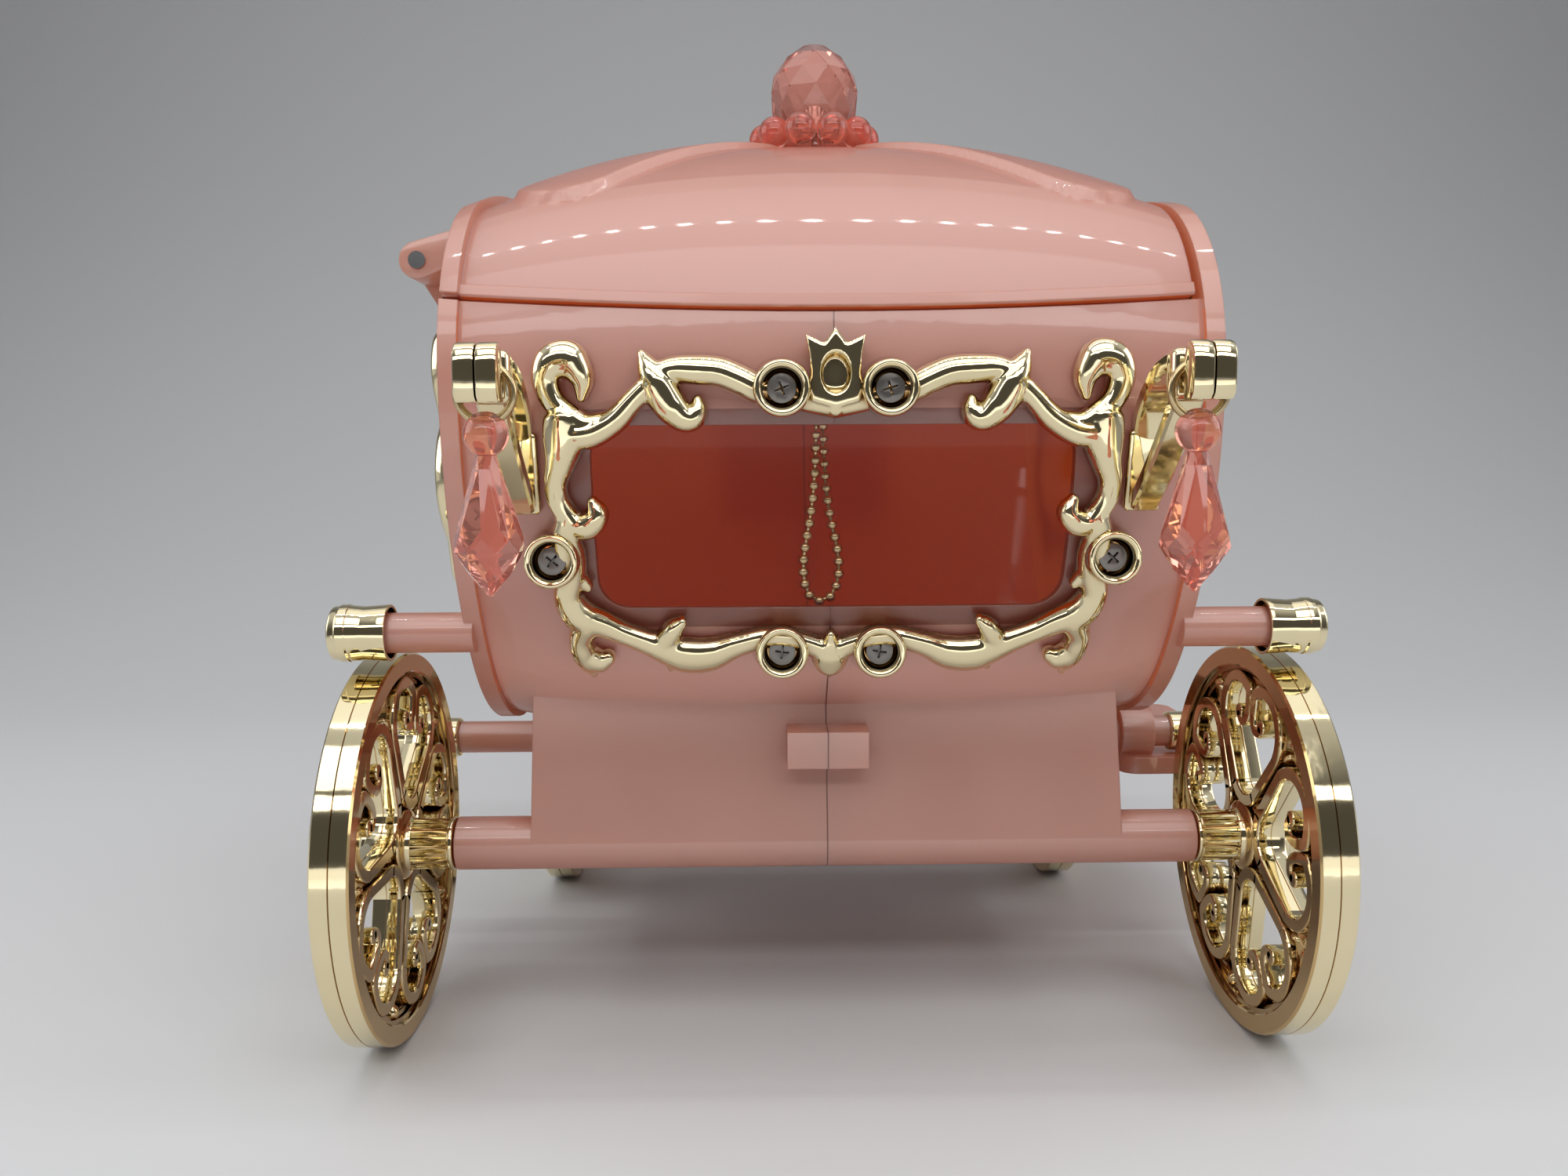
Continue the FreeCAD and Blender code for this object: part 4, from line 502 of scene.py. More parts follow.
# %% [markdown]
# Pieces turned on a lathe are rings of points round an axis. One helper makes
# them all: caps, eyelets, hubs, pins and beads.

# %% Lathe helpers
WAYS = {"-Y": Vector((0, -1, 0)), "+Y": Vector((0, 1, 0)), "+Z": Vector((0, 0, 1))}


def tube_faces(rows, count):
    """Four-sided faces between rows of points, each row a closed ring."""
    faces = []
    for row in range(rows - 1):
        low, high = row * count, (row + 1) * count
        for step in range(count):
            ahead = (step + 1) % count
            faces.append((low + step, low + ahead, high + ahead, high + step))
    return faces


def end_faces(rows, count):
    """The two faces that close a tube."""
    return [tuple(range(count))[::-1], tuple(range((rows - 1) * count, rows * count))]


def lathe_points(profile, spot, way, segments=48):
    """Verts and faces of (radius, height) pairs turned about an axis."""
    axis = WAYS[way] if isinstance(way, str) else way
    turn = Vector((0, 0, 1)).rotation_difference(axis)
    verts = []
    for radius, height in profile:
        for step in range(segments):
            angle = 2 * math.pi * step / segments
            flat = Vector((radius * math.cos(angle), radius * math.sin(angle), height))
            verts.append(tuple(turn @ flat + Vector(spot)))
    return verts, tube_faces(len(profile), segments)


def add_parts(parts):
    """Join several (verts, faces) into one."""
    verts, faces = [], []
    for some_verts, some_faces in parts:
        offset = len(verts)
        verts += some_verts
        faces += [tuple(i + offset for i in face) for face in some_faces]
    return verts, faces


def ball_profile(radius, rows=20):
    turns = [math.pi * i / rows for i in range(rows + 1)]
    return [(radius * math.sin(a), -radius * math.cos(a)) for a in turns]


def rounded(profile, radius, steps=4):
    """Round the corners of an open profile of (radius, height) pairs."""
    points = [Vector(p) for p in profile]
    result = [points[0]]
    for before, corner, after in zip(points, points[1:], points[2:]):
        reach = min(radius, 0.45 * (before - corner).length, 0.45 * (after - corner).length)
        enter = corner + (before - corner).normalized() * reach
        leave = corner + (after - corner).normalized() * reach
        for step in range(steps + 1):
            t = step / steps
            result.append(enter * (1 - t) ** 2 + corner * 2 * t * (1 - t) + leave * t ** 2)
    result.append(points[-1])
    return [tuple(p) for p in result]


print("faces on a bead:", len(lathe_points(ball_profile(1.0), (0, 0, 0), "+Z")[1]))

# %% [markdown]
# Every finished piece needs clean normals, a surface and the body it moves
# with, and the solid it stands for is hidden. The gold caps on the rods and
# steps are the first to get them. Each is a hollow moulding pushed onto a
# bar's end.

# %% Dressing helpers and turned caps
def dress(obj, material, body, *nodes, slot):
    """Give a piece its surface and its body, and hide the CAD nodes it stands for."""
    obj.data.materials.append(material)
    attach(obj, body)
    if nodes:
        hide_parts(*nodes)
    return obj


def tidy_normals(obj):
    mesh = bmesh.new()
    mesh.from_mesh(obj.data)
    bmesh.ops.remove_doubles(mesh, verts=mesh.verts, dist=1e-6)
    bmesh.ops.recalc_face_normals(mesh, faces=mesh.faces)
    mesh.to_mesh(obj.data)
    mesh.free()
    return obj


def finished(name, part, smooth_angle, material, body, *nodes, slot):
    """Dressed piece from one (verts, faces)."""
    verts, faces = part
    piece = tidy_normals(build_mesh(name, verts, faces, smooth_angle))
    return dress(piece, material, body, *nodes, slot=slot)


ROD_CAP = rounded([(3.6, 3.5), (4.35, 3.0), (4.35, 0.0), (4.9, 0.0), (4.85, 1.2), (4.6, 4.4), (4.8, 6.6),
                   (4.95, 6.8), (4.95, 8.2), (4.75, 8.4), (4.6, 9.6), (3.8, 10.0), (0.0, 10.0)], 0.3)
STEP_CAP = rounded([(2.65, 0.0), (4.2, 0.0), (4.2, 13.8), (3.2, 16.0), (1.8, 17.0), (0.0, 17.0)], 0.8)
CAPS = {"rod_cap": (ROD_CAP, (75.0, -54.0, 75.4)), "step_cap": ([(2.65, 7.0)] + STEP_CAP, (77.0, 0.0, 45.0))}
for side_name, side in SIDES.items():
    for cap, (profile, (x, y, z)) in CAPS.items():
        key = "%s_%s" % (cap, side_name)
        part = lathe_points(profile, (side * x, y, z), Vector((side, 0, 0)))
        finished(key + "_shell", part, 30, GOLD, "coach", key, slot="gold_trim")
print("turned caps:", len(SIDES) * len(CAPS))

# %% [markdown]
# The scrollwork was carved as a pattern, cast in plastic and metallised. A
# scroll is a line that swells and thins, so each one is a row of points with
# a half width, swept with a half-round section and closed with round ends.

# %% Scroll helpers
SCROLL_ARC = 14
SCROLL_FOOT = -0.6
THINNEST = 0.25
END_ROWS = 4


def smooth_line(points, per_span=8):
    """Catmull-Rom curve through points of any dimension."""
    data = np.array(points, float)
    ends = np.vstack([2 * data[0] - data[1], data, 2 * data[-1] - data[-2]])
    line = []
    for i in range(1, len(ends) - 2):
        p0, p1, p2, p3 = ends[i - 1], ends[i], ends[i + 1], ends[i + 2]
        for step in range(per_span):
            t = step / per_span
            line.append(0.5 * ((2 * p1) + (p2 - p0) * t + (2 * p0 - 5 * p1 + 4 * p2 - p3) * t * t
                               + (3 * p1 - p0 - 3 * p2 + p3) * t ** 3))
    line.append(data[-1])
    return np.array(line)


def headings(line):
    """Unit direction of a flat line at each of its points."""
    flow = np.gradient(line[:, :2], axis=0)
    return flow / (np.linalg.norm(flow, axis=1)[:, None] + 1e-9)


def round_end(point, heading, outward):
    """Rows that narrow beyond the end of a bar."""
    rows = []
    for k in range(1, END_ROWS + 1):
        turn = k / END_ROWS * math.pi / 2
        row = point.copy()
        row[:2] += outward * heading * point[2] * math.sin(turn)
        row[2] *= max(0.05, math.cos(turn))
        rows.append((row, heading))
    return rows


def scroll(points, depth, rise=1.0):
    """Closed half-round bar along (x, y, half width) points; its height is in z."""
    line = smooth_line(points)
    line[:, 2] = np.maximum(line[:, 2], THINNEST)
    flow = headings(line)
    rows = round_end(line[0], flow[0], -1)[::-1] + list(zip(line, flow)) + round_end(line[-1], flow[-1], 1)
    verts = []
    for (x, y, half), (fx, fy) in rows:
        height = min(depth, half * rise + 0.55)
        for step in range(SCROLL_ARC):
            angle = math.pi * step / (SCROLL_ARC - 1)
            across = half * math.cos(angle)
            verts.append((x - fy * across, y + fx * across, height * max(0.0, math.sin(angle)) ** 0.8))
        verts.append((x + fy * half, y - fx * half, SCROLL_FOOT))
        verts.append((x - fy * half, y + fx * half, SCROLL_FOOT))
    ring = SCROLL_ARC + 2
    return verts, tube_faces(len(rows), ring) + end_faces(len(rows), ring)


def mirrored(parts):
    twins = []
    for verts, faces in parts:
        twins.append(([(-x, y, z) for x, y, z in verts], [face[::-1] for face in faces]))
    return twins


print("points on a scroll:", len(scroll([(0, 0, 1), (5, 0, 2), (9, 3, 1)], 3.0)[0]))

# %% [markdown]
# The strokes of a casting run into each other without a seam. Here a voxel
# remesh melts them into one skin. Plates with holes are cut from flat
# outlines, as from sheet.

# %% Casting and plate helpers
def baked(obj):
    """Points and faces of a helper object with its modifiers on; the helper is removed."""
    graph = bpy.context.evaluated_depsgraph_get()
    mesh = bpy.data.meshes.new_from_object(obj.evaluated_get(graph))
    points = [tuple(v.co) for v in mesh.vertices]
    faces = [tuple(p.vertices) for p in mesh.polygons]
    source = bpy.data.curves if obj.type == "CURVE" else bpy.data.meshes
    data = obj.data
    bpy.data.objects.remove(obj)
    source.remove(data)
    bpy.data.meshes.remove(mesh)
    return points, faces


def melt(name, parts, voxel_mm, smooth_rounds):
    """Join closed parts into one skin, as a casting, and give back its points."""
    blank = tidy_normals(build_mesh(name, *add_parts(parts)))
    remesh = blank.modifiers.new("melt", "REMESH")
    remesh.mode = "VOXEL"
    remesh.voxel_size = voxel_mm * MM
    soften = blank.modifiers.new("soften", "SMOOTH")
    soften.factor = 0.5
    soften.iterations = smooth_rounds
    points, polygons = baked(blank)
    return np.array(points) / MM, polygons


def plate_points(outlines, low, high, bevel=0.0):
    """Flat plate between two heights; the first outline is its edge, the rest are holes."""
    curve = bpy.data.curves.new("plate", "CURVE")
    curve.dimensions = "2D"
    curve.fill_mode = "BOTH"
    curve.extrude = (high - low) / 2 - bevel
    curve.bevel_depth = bevel
    curve.bevel_resolution = 1
    for outline in outlines:
        spline = curve.splines.new("POLY")
        spline.points.add(len(outline) - 1)
        spline.points.foreach_set("co", [c for x, y in outline for c in (x, y, 0.0, 1.0)])
        spline.use_cyclic_u = True
    points, faces = baked(link(bpy.data.objects.new("plate", curve)))
    middle = (low + high) / 2
    return [(x, y, z + middle) for x, y, z in points], faces


def circle(radius, count=48, x=0.0, y=0.0):
    angles = [2 * math.pi * i / count for i in range(count)]
    return [(x + radius * math.cos(a), y + radius * math.sin(a)) for a in angles]


print("faces of a round plate:", len(plate_points([circle(5.0)], 0.0, 1.0)[1]))

# %% [markdown]
# The window frame is the finest casting on the coach. Its strokes are laid
# flat, melted together and then bent onto the wall. Six short tubes stand
# out of it and hold the screws.

# %% Window frame
FRAME_SCROLLS = [
    # upper corner hook
    [(35.6, 110.6, 1.2), (38.7, 110.2, 1.4), (41.0, 111.4, 1.5), (43.6, 114.0, 1.5), (44.6, 117.0, 1.8),
     (43.6, 119.4, 2.3), (41.2, 120.0, 2.4), (39.9, 118.8, 1.9), (39.0, 116.8, 1.3), (39.2, 114.4, 0.3)],
    # upper bar, and the leaf bud it grows into
    [(41.2, 108.6, 1.9), (37.7, 109.0, 1.8), (34.0, 111.0, 1.5), (31.2, 113.8, 1.3), (29.1, 115.6, 1.4),
     (27.9, 116.4, 1.4)],
    [(29.7, 120.6, 0.3), (28.8, 118.8, 1.4), (27.3, 116.2, 2.2), (25.8, 113.6, 2.3), (23.8, 111.6, 1.9),
     (22.2, 111.3, 1.6), (21.2, 112.6, 1.1), (21.2, 113.8, 0.4)],
    # bar from the bud to the upper eyelet
    [(27.5, 117.6, 1.4), (24.8, 118.4, 1.5), (21.6, 118.3, 1.75), (17.9, 118.0, 1.8), (14.7, 116.8, 1.8),
     (11.6, 115.4, 1.8), (8.2, 115.1, 1.8)],
    # side bar with inward curl
    [(42.3, 110.4, 2.6), (42.3, 107.6, 2.6), (42.9, 104.6, 1.9), (43.8, 101.6, 1.35), (43.6, 98.8, 1.25),
     (42.3, 96.4, 1.3), (40.8, 95.0, 1.5), (38.9, 95.0, 1.7), (37.6, 96.6, 1.4), (38.2, 98.4, 0.4)],
    [(42.4, 95.4, 1.5), (42.8, 92.6, 1.9), (42.4, 89.4, 2.1), (42.6, 86.4, 1.9), (43.3, 83.4, 1.9),
     (42.4, 80.8, 2.1), (40.5, 79.0, 2.0)],
    [(41.9, 86.8, 1.3), (39.9, 84.8, 0.3)],
    # lower corner hook
    [(40.7, 78.6, 2.0), (42.0, 76.0, 1.6), (41.9, 73.4, 1.6), (40.9, 71.0, 1.3), (40.7, 69.3, 0.35)],
    [(41.1, 72.2, 1.5), (39.2, 71.5, 1.25), (37.8, 72.0, 0.7)],
    # bottom bar with a leaf spur
    [(40.5, 79.2, 1.9), (37.8, 78.2, 1.4), (35.0, 76.8, 1.2), (31.2, 75.2, 1.35), (27.6, 73.8, 1.9),
     (24.3, 72.7, 2.2), (20.0, 72.9, 2.0), (16.0, 74.4, 1.35), (11.4, 75.7, 1.1), (7.8, 75.9, 1.05),
     (4.2, 74.7, 1.1), (0.0, 73.0, 1.4)],
    [(24.8, 78.6, 0.3), (26.4, 77.2, 1.2), (27.9, 75.0, 1.5)],
    [(26.0, 72.6, 1.4), (27.2, 70.5, 0.35)],
    # middle spade, and the links from the crown to the eyelets
    [(0.0, 76.0, 0.4), (0.0, 74.4, 1.6), (0.0, 72.4, 2.7), (0.0, 70.8, 2.1), (0.0, 69.3, 0.4)],
    [(8.2, 115.1, 1.6), (4.4, 113.9, 1.5), (0.0, 113.2, 1.7)],
]
CROWN_EDGE = [(0.0, 123.4), (1.6, 121.3), (4.1, 122.4), (3.6, 120.0), (3.5, 117.4), (4.1, 115.6),
              (3.4, 113.9), (0.0, 113.0)]
FRAME_VOXEL = 0.28
FRAME_SMOOTHING = 3
EYELETS = [(8.3, 115.3), (45.0, 88.6), (8.2, 72.4)]
FRAME_LIFT = 1.5
FRAME_RELIEF = 3.2
SOFTENING = 0.5


def eyelet(x, z):
    """Tube that stands off the wall along Y, with a soft lip and a deep bore."""
    seat = -wall_depth(x, z) - 0.6
    profile = rounded([(4.4, -1.0), (4.4, 5.8), (4.0, 6.4), (3.3, 6.2), (2.95, 5.4), (2.95, 3.5), (2.5, 3.3),
                       (2.5, 2.2)], 0.35)
    profile += [(1.2, 2.2)]
    return lathe_points(profile, (x, seat, z), "-Y", 40)


def tulip_crown():
    """Three-pointed crown with an oval hollow, and the ball under it."""
    edge = CROWN_EDGE + [(-x, z) for x, z in CROWN_EDGE[-2:0:-1]]
    oval = [(2.6 * x, 117.6 + 3.2 * z) for x, z in circle(1.0, 32)]
    return [plate_points([edge, oval], -0.6, 3.2, 0.4), plate_points([edge], -0.6, 0.5, 0.2),
            lathe_points(ball_profile(1.35), (0, 112.6, 1.6), "+Z", 24)]


def window_frame():
    grown = [[(x, z, half + SOFTENING) for x, z, half in points] for points in FRAME_SCROLLS]
    parts = [scroll(points, FRAME_RELIEF) for points in grown]
    parts = parts + mirrored(parts) + tulip_crown()
    points, polygons = melt("frame_blank", parts, FRAME_VOXEL, FRAME_SMOOTHING)
    bent = [tuple(on_wall(x, z, FRAME_LIFT + height)) for x, z, height in points]
    rings = []
    for x, z in EYELETS:
        rings += [eyelet(x, z), eyelet(-x, z)]
    verts, faces = add_parts([(bent, polygons)] + rings)
    piece = build_mesh("window_frame_cast", verts, faces, 50)
    print("window frame:", len(piece.data.polygons), "faces")
    return dress(piece, GOLD, "coach", "window_frame", slot="gold_trim")


window_frame()

# %% [markdown]
# The six frame screws sit deep in the eyelets. Each has a round head with a
# cross recess, cut here as a plate with a cross-shaped hole over a floor.

# %% Frame screws
SCREW_SINK = 3.6


def cross_outline(arm, half):
    quarter = [(half, half), (half, arm), (-half, arm)]
    spots = []
    for turn in range(4):
        c, s = round(math.cos(turn * math.pi / 2)), round(math.sin(turn * math.pi / 2))
        spots += [(x * c - y * s, x * s + y * c) for x, y in quarter]
    return spots


def frame_screws():
    head = plate_points([circle(2.15), cross_outline(1.25, 0.26)], 0.5, 1.5, 0.12)
    floor = lathe_points([(0.0, 0.55), (2.0, 0.55), (2.0, 0.0), (1.2, 0.0), (1.2, -9.0), (0.0, -9.0)],
                         (0, 0, 0), "+Z", 24)
    verts, faces = add_parts([head, floor])
    parts = []
    for index, (x, z) in enumerate(EYELETS + [(-x, z) for x, z in EYELETS]):
        turn = math.radians(17 + 31 * index)
        seat = -wall_depth(x, z) - SCREW_SINK
        c, s = math.cos(turn), math.sin(turn)
        placed = [(x + vx * c - vy * s, seat - vz, z + vx * s + vy * c) for vx, vy, vz in verts]
        parts.append((placed, faces))
    print("frame screws:", len(parts))
    finished("frame_screw_heads", add_parts(parts), 30, DARK, "coach", "frame_screws", slot="dark_screw")


frame_screws()

# %% [markdown]
# A wheel is one metallised moulding. Its five spokes are heart scrolls. Each
# heart is one upright band whose two ends curl into its lobes. Its arcs touch
# without a kink, and their sizes are worked out from the hub and the rim.

# %% Heart spokes
TREAD = 6.4
RIM = 3.6
HUB = 6.5
BAND = 2.4
GROOVE = 0.8
HEARTS = 5
AXLE_Y = 43.5
WHEELS = {"rear": {"radius": 35.0, "inner": 75.9, "sleeve": 8.4, "y": -AXLE_Y},
          "front": {"radius": 27.0, "inner": 58.0, "sleeve": 2.5, "y": AXLE_Y}}
HEART_TURN = {"rear_left": 0, "rear_right": 25, "front_left": 18, "front_right": 50}
CURL_LOBE = 5.69
AXLE_BORE = 1.52


def heart_numbers(radius):
    half_step = math.pi / HEARTS
    x = (radius - RIM + HUB) / 2 * 1.16
    y = (x * math.sin(half_step) - BAND - GROOVE / 2) / (1 + math.cos(half_step))
    lobe = y + 0.1
    foot = 0.8 * lobe
    foot_x = HUB + 0.8 * BAND + foot
    heading = math.atan2(y, x - foot_x)
    touch = heading + math.acos((foot - lobe) / math.hypot(y, x - foot_x))
    return x, y, lobe, foot, foot_x, touch


def heart_half(radius):
    """Middle line of half a heart band, from its foot round the lobe to the rim."""
    x, y, lobe, foot, foot_x, touch = heart_numbers(radius)
    grow = BAND / 2
    points = []
    for step in range(9):
        a = math.pi + (touch - math.pi) * step / 8
        points.append((foot_x + (foot + grow) * math.cos(a), (foot + grow) * math.sin(a)))
    for step in range(15):
        a = touch + (math.radians(-38) - touch) * step / 14
        points.append((x + (lobe + grow) * math.cos(a), y + (lobe + grow) * math.sin(a)))
    return points


def heart_band(radius):
    """Whole band with volutes, as (u, v, half width) points from end to end."""
    x, _, lobe, _, _, _ = heart_numbers(radius)
    k = lobe / CURL_LOBE
    half = [(u, v, BAND / 2) for u, v in heart_half(radius)]
    half += [(x + 3.3 * k, 1.15, 1.15), (x + 1.1 * k, 1.35, 1.05), (x - 0.7 * k, 2.3 * k, 0.95),
             (x - 0.9 * k, 4.1 * k, 0.85), (x + 0.5 * k, 5.0 * k, 0.9)]
    twin = [(u, -v, w) for u, v, w in half[:0:-1]]
    return twin + half


def band_sweep(points, low, high, edge=0.45):
    """Upright band along (u, v, half width), with rounded edges and a parting line."""
    line = smooth_line(points, 3)
    middle = (low + high) / 2
    side = [(1, low + edge), (1, middle - 0.12), (0.93, middle), (1, middle + 0.12), (1, high - edge)]
    right = [(0.72, low), (0.9, low + 0.15)] + side + [(0.9, high - 0.15), (0.72, high)]
    ring = right + [(-c, h) for c, h in right[::-1]]
    verts = []
    for (u, v, half), (fu, fv) in zip(line, headings(line)):
        for c, h in ring:
            verts.append((u - fv * half * c, v + fu * half * c, h))
    return verts, tube_faces(len(line), len(ring)) + end_faces(len(line), len(ring))


print("points along a rear heart:", len(heart_band(WHEELS["rear"]["radius"])))

# %% [markdown]
# The rest of the wheel is turned: a flat tread with a parting line, a stepped
# rim, and a hub with its sleeve. A thin web and small pearls fill the gaps
# between the hearts.

# %% Wheels
def turned(part, angle):
    c, s = math.cos(angle), math.sin(angle)
    verts, faces = part
    return [(u * c - v * s, u * s + v * c, w) for u, v, w in verts], faces


def pearl(u, long_u, long_v, depth):
    """Flattened ball on the line between two hearts."""
    verts, faces = lathe_points(ball_profile(1.0, 10), (0, 0, 0), "+Z", 18)
    return [(u + a * long_u, b * long_v, TREAD / 2 + c * depth) for a, b, c in verts], faces


def wheel_parts(end):
    radius = WHEELS[end]["radius"]
    inside = radius - RIM
    half_rim = [(radius, 3.08), (radius, 0.35), (radius - 0.35, 0.0), (inside + 0.3, 0.0),
                (inside, 0.25), (inside - 0.05, 0.95), (inside - 0.75, 1.05),
                (inside - 0.8, 1.7), (inside - 1.5, 1.8), (inside - 1.5, 2.6)]
    rim = [(r, TREAD - h) for r, h in half_rim[::-1]] + [(radius - 0.2, TREAD / 2)] + half_rim
    heart = heart_half(radius)
    heart += [(u, -v) for u, v in heart[-1:0:-1]]
    points = heart_band(radius)
    knob = rounded([(0.0, 0.6), (1.4, 0.6), (1.4, TREAD - 0.6), (0.0, TREAD - 0.6)], 0.4)
    spoke = [band_sweep(points, 0.6, TREAD - 0.6)]
    spoke += [lathe_points(knob, (u, v, 0), "+Z", 24) for u, v, _ in (points[0], points[-1])]
    pearls = [pearl(inside - 1.9, 1.9, 1.25, 2.4), pearl(inside - 6.3, 1.5, 0.8, 2.2),
              pearl(HUB + 3.2, 1.4, 0.8, 2.2)]
    holes, hearts = [], []
    for index in range(HEARTS):
        angle = 2 * math.pi * index / HEARTS
        flat, _ = turned(([(u, v, 0.0) for u, v in heart], []), angle)
        holes.append([(u, v) for u, v, _ in flat])
        hearts += [turned(part, angle) for part in spoke]
        hearts += [turned(part, angle + math.pi / HEARTS) for part in pearls]
    web = plate_points([circle(inside - 0.9, 96)] + holes, 1.9, TREAD - 1.9)
    length = WHEELS[end]["sleeve"]
    hub = [(AXLE_BORE, -length), (4.3, -length), (4.75, -length + 0.3), (4.75, -length + 0.9),
           (4.6, -length + 1.1), (4.6, -0.6), (4.9, 0.2), (6.0, 0.55), (6.4, 0.9), (6.4, TREAD - 0.6),
           (6.1, TREAD), (AXLE_BORE, TREAD)]
    sleeve = lathe_points(rounded(hub, 0.25) + [(AXLE_BORE, -length)], (0, 0, 0), "+Z", 64)
    return [lathe_points(rim + rim[:1], (0, 0, 0), "+Z", 120), web] + hearts + [sleeve]


def stand_wheel(end, side, turn_degrees):
    """Turn a flat wheel upright and put it on its axle."""
    turn = math.radians(turn_degrees)
    outward = Vector((side, 0, 0))
    along = Vector((0, math.cos(turn), math.sin(turn)))
    third = outward.cross(along)
    numbers = WHEELS[end]
    centre = Vector((side * numbers["inner"], numbers["y"], numbers["radius"]))
    verts, faces = add_parts(wheel_parts(end))
    return [tuple(centre + along * u + third * v + outward * w) for u, v, w in verts], faces


def hub_cap(end, side):
    numbers = WHEELS[end]
    profile = [(0.0, 0.0), (5.6, 0.0), (5.6, 1.2), (5.2, 1.6), (4.6, 2.0), (4.4, 3.4), (3.9, 4.4),
               (2.6, 5.2), (1.0, 5.55), (0.0, 5.6)]
    spot = (side * (numbers["inner"] + TREAD), numbers["y"], numbers["radius"])
    return lathe_points(rounded(profile, 0.4), spot, Vector((side, 0, 0)), 64)


for end in WHEELS:
    for side_name, side in SIDES.items():
        key = "%s_%s" % (end, side_name)
        finished("wheel_%s_cast" % key, stand_wheel(end, side, HEART_TURN[key]), 32, WHEEL_GOLD,
                 end + "_wheels", "wheel_" + key, slot="gold_trim")
        finished("hub_cap_%s_dome" % key, hub_cap(end, side), 30, GOLD, end + "_wheels", "hub_cap_" + key,
                 slot="gold_trim")
print("wheels:", len(HEART_TURN))

# %% [markdown]
# The lid is the top of the barrel with its own thin lip. Its four raised
# petals swell softly out of the surface, so they are a smooth rise of the
# skin and not separate plates.

# %% Lid skin
LID_RIGHT = 57.8
LID_GAP = 0.5
LID_ROWS = 190
LIP_ROWS = ((0.0, 0.45), (0.25, 0.8), (1.75, 0.8), (2.05, 0.55), (2.2, 0.0))
LIP_LOW = [low for low, _ in LIP_ROWS]
LIP_RISE = [rise for _, rise in LIP_ROWS]
RIM_EDGE = -HALF_WIDTH + RIM_WIDTH
RIM_RISE = 1.6
PETAL_START = np.array((10.0, 9.0))
PETAL_END = np.array((44.0, 43.0))
PETAL_NARROW = 2.5
PETAL_WIDE = 9.5
PETAL_EDGE = 1.1
PETAL_HEIGHT = 1.4
PETAL_LOWEST_Z = 140


def split_at(x):
    radius = (HALF_WIDTH ** 2 + SPLIT_DIP ** 2) / (2 * SPLIT_DIP)
    return SPLIT - SPLIT_DIP + radius - math.sqrt(radius ** 2 - x ** 2)


def roof_row(x, shoulder_steps=26, top_steps=76):
    """Points and outward normals of the lid's section at one X, from near edge to far edge."""
    part = section_at(x)
    rise = part["top"] - WIDEST
    shoulder = part["shoulder"]
    centre_y = part["length"] - shoulder
    top_radius = (centre_y ** 2 + rise ** 2 - shoulder ** 2) / (2 * (rise - shoulder))
    top_z = part["top"] - top_radius
    meet = math.atan2(WIDEST - top_z, centre_y)
    half = []
    for low, _ in LIP_ROWS:
        start = math.asin((split_at(x) + LID_GAP + low - WIDEST) / shoulder)
        half.append((centre_y + shoulder * math.cos(start), WIDEST + shoulder * math.sin(start), start))
    for step in range(1, shoulder_steps):
        a = start + (meet - start) * step / shoulder_steps
        half.append((centre_y + shoulder * math.cos(a), WIDEST + shoulder * math.sin(a), a))
    for step in range(top_steps + 1):
        a = meet + (math.pi / 2 - meet) * step / top_steps
        half.append((top_radius * math.cos(a), top_z + top_radius * math.sin(a), a))
    near = [(-y, z, -math.cos(a), math.sin(a)) for y, z, a in half]
    far = [(y, z, math.cos(a), math.sin(a)) for y, z, a in half[-2::-1]]
    return near + far


def petal_rise(x, y):
    """Height of the petals: a soft-edged belt from the crown to each corner."""
    spot = np.array((abs(x), abs(y)))
    way = PETAL_END - PETAL_START
    t = float(np.clip((spot - PETAL_START) @ way / (way @ way), 0, 1))
    width = PETAL_NARROW + (PETAL_WIDE - PETAL_NARROW) * t
    edge = np.linalg.norm(spot - PETAL_START - way * t) - width
    ease = float(np.clip(0.5 - edge / PETAL_EDGE, 0, 1))
    return PETAL_HEIGHT * math.sin(ease * math.pi / 2)


def lid_shell():
    xs = [-HALF_WIDTH + (LID_RIGHT + HALF_WIDTH) * i / LID_ROWS for i in range(LID_ROWS + 1)]
    xs = sorted(xs + [RIM_EDGE + 0.1, RIM_EDGE - 0.1])
    outer, inner = [], []
    for x in xs:
        on_rim = x < RIM_EDGE
        for y, z, ny, nz in roof_row(x):
            low = z - split_at(x) - LID_GAP
            lift = RIM_RISE if on_rim else float(np.interp(low, LIP_LOW, LIP_RISE))
            lift += petal_rise(x, y) if z > PETAL_LOWEST_Z else 0.0
            outer.append((x, y + ny * lift, z + nz * lift))
            inner.append((x, y - ny * WALL, z - nz * WALL * (0.0 if low < 0.05 else 1.0)))
    base = len(outer)
    count = base // len(xs)
    faces = []
    for i in range(len(xs) - 1):
        for j in range(count - 1):
            a, b = i * count + j, (i + 1) * count + j
            faces.append((a, b, b + 1, a + 1))
            faces.append((base + a, base + a + 1, base + b + 1, base + b))
        for j in (0, count - 1):
            a, b = i * count + j, (i + 1) * count + j
            faces.append((a, base + a, base + b, b))
    for i in (0, len(xs) - 1):
        for j in range(count - 1):
            a = i * count + j
            faces.append((a, a + 1, base + a + 1, base + a))
    return outer + inner, faces


print("petal height at its middle:", round(petal_rise(*(PETAL_START + PETAL_END) / 2), 2), "mm")

# %% [markdown]
# On the hinge side the lid is closed by a flat end, and two arms reach out to
# the pin. A round seat on top carries the finial. All of it is one moulding
# on the real box, so it is one piece here.

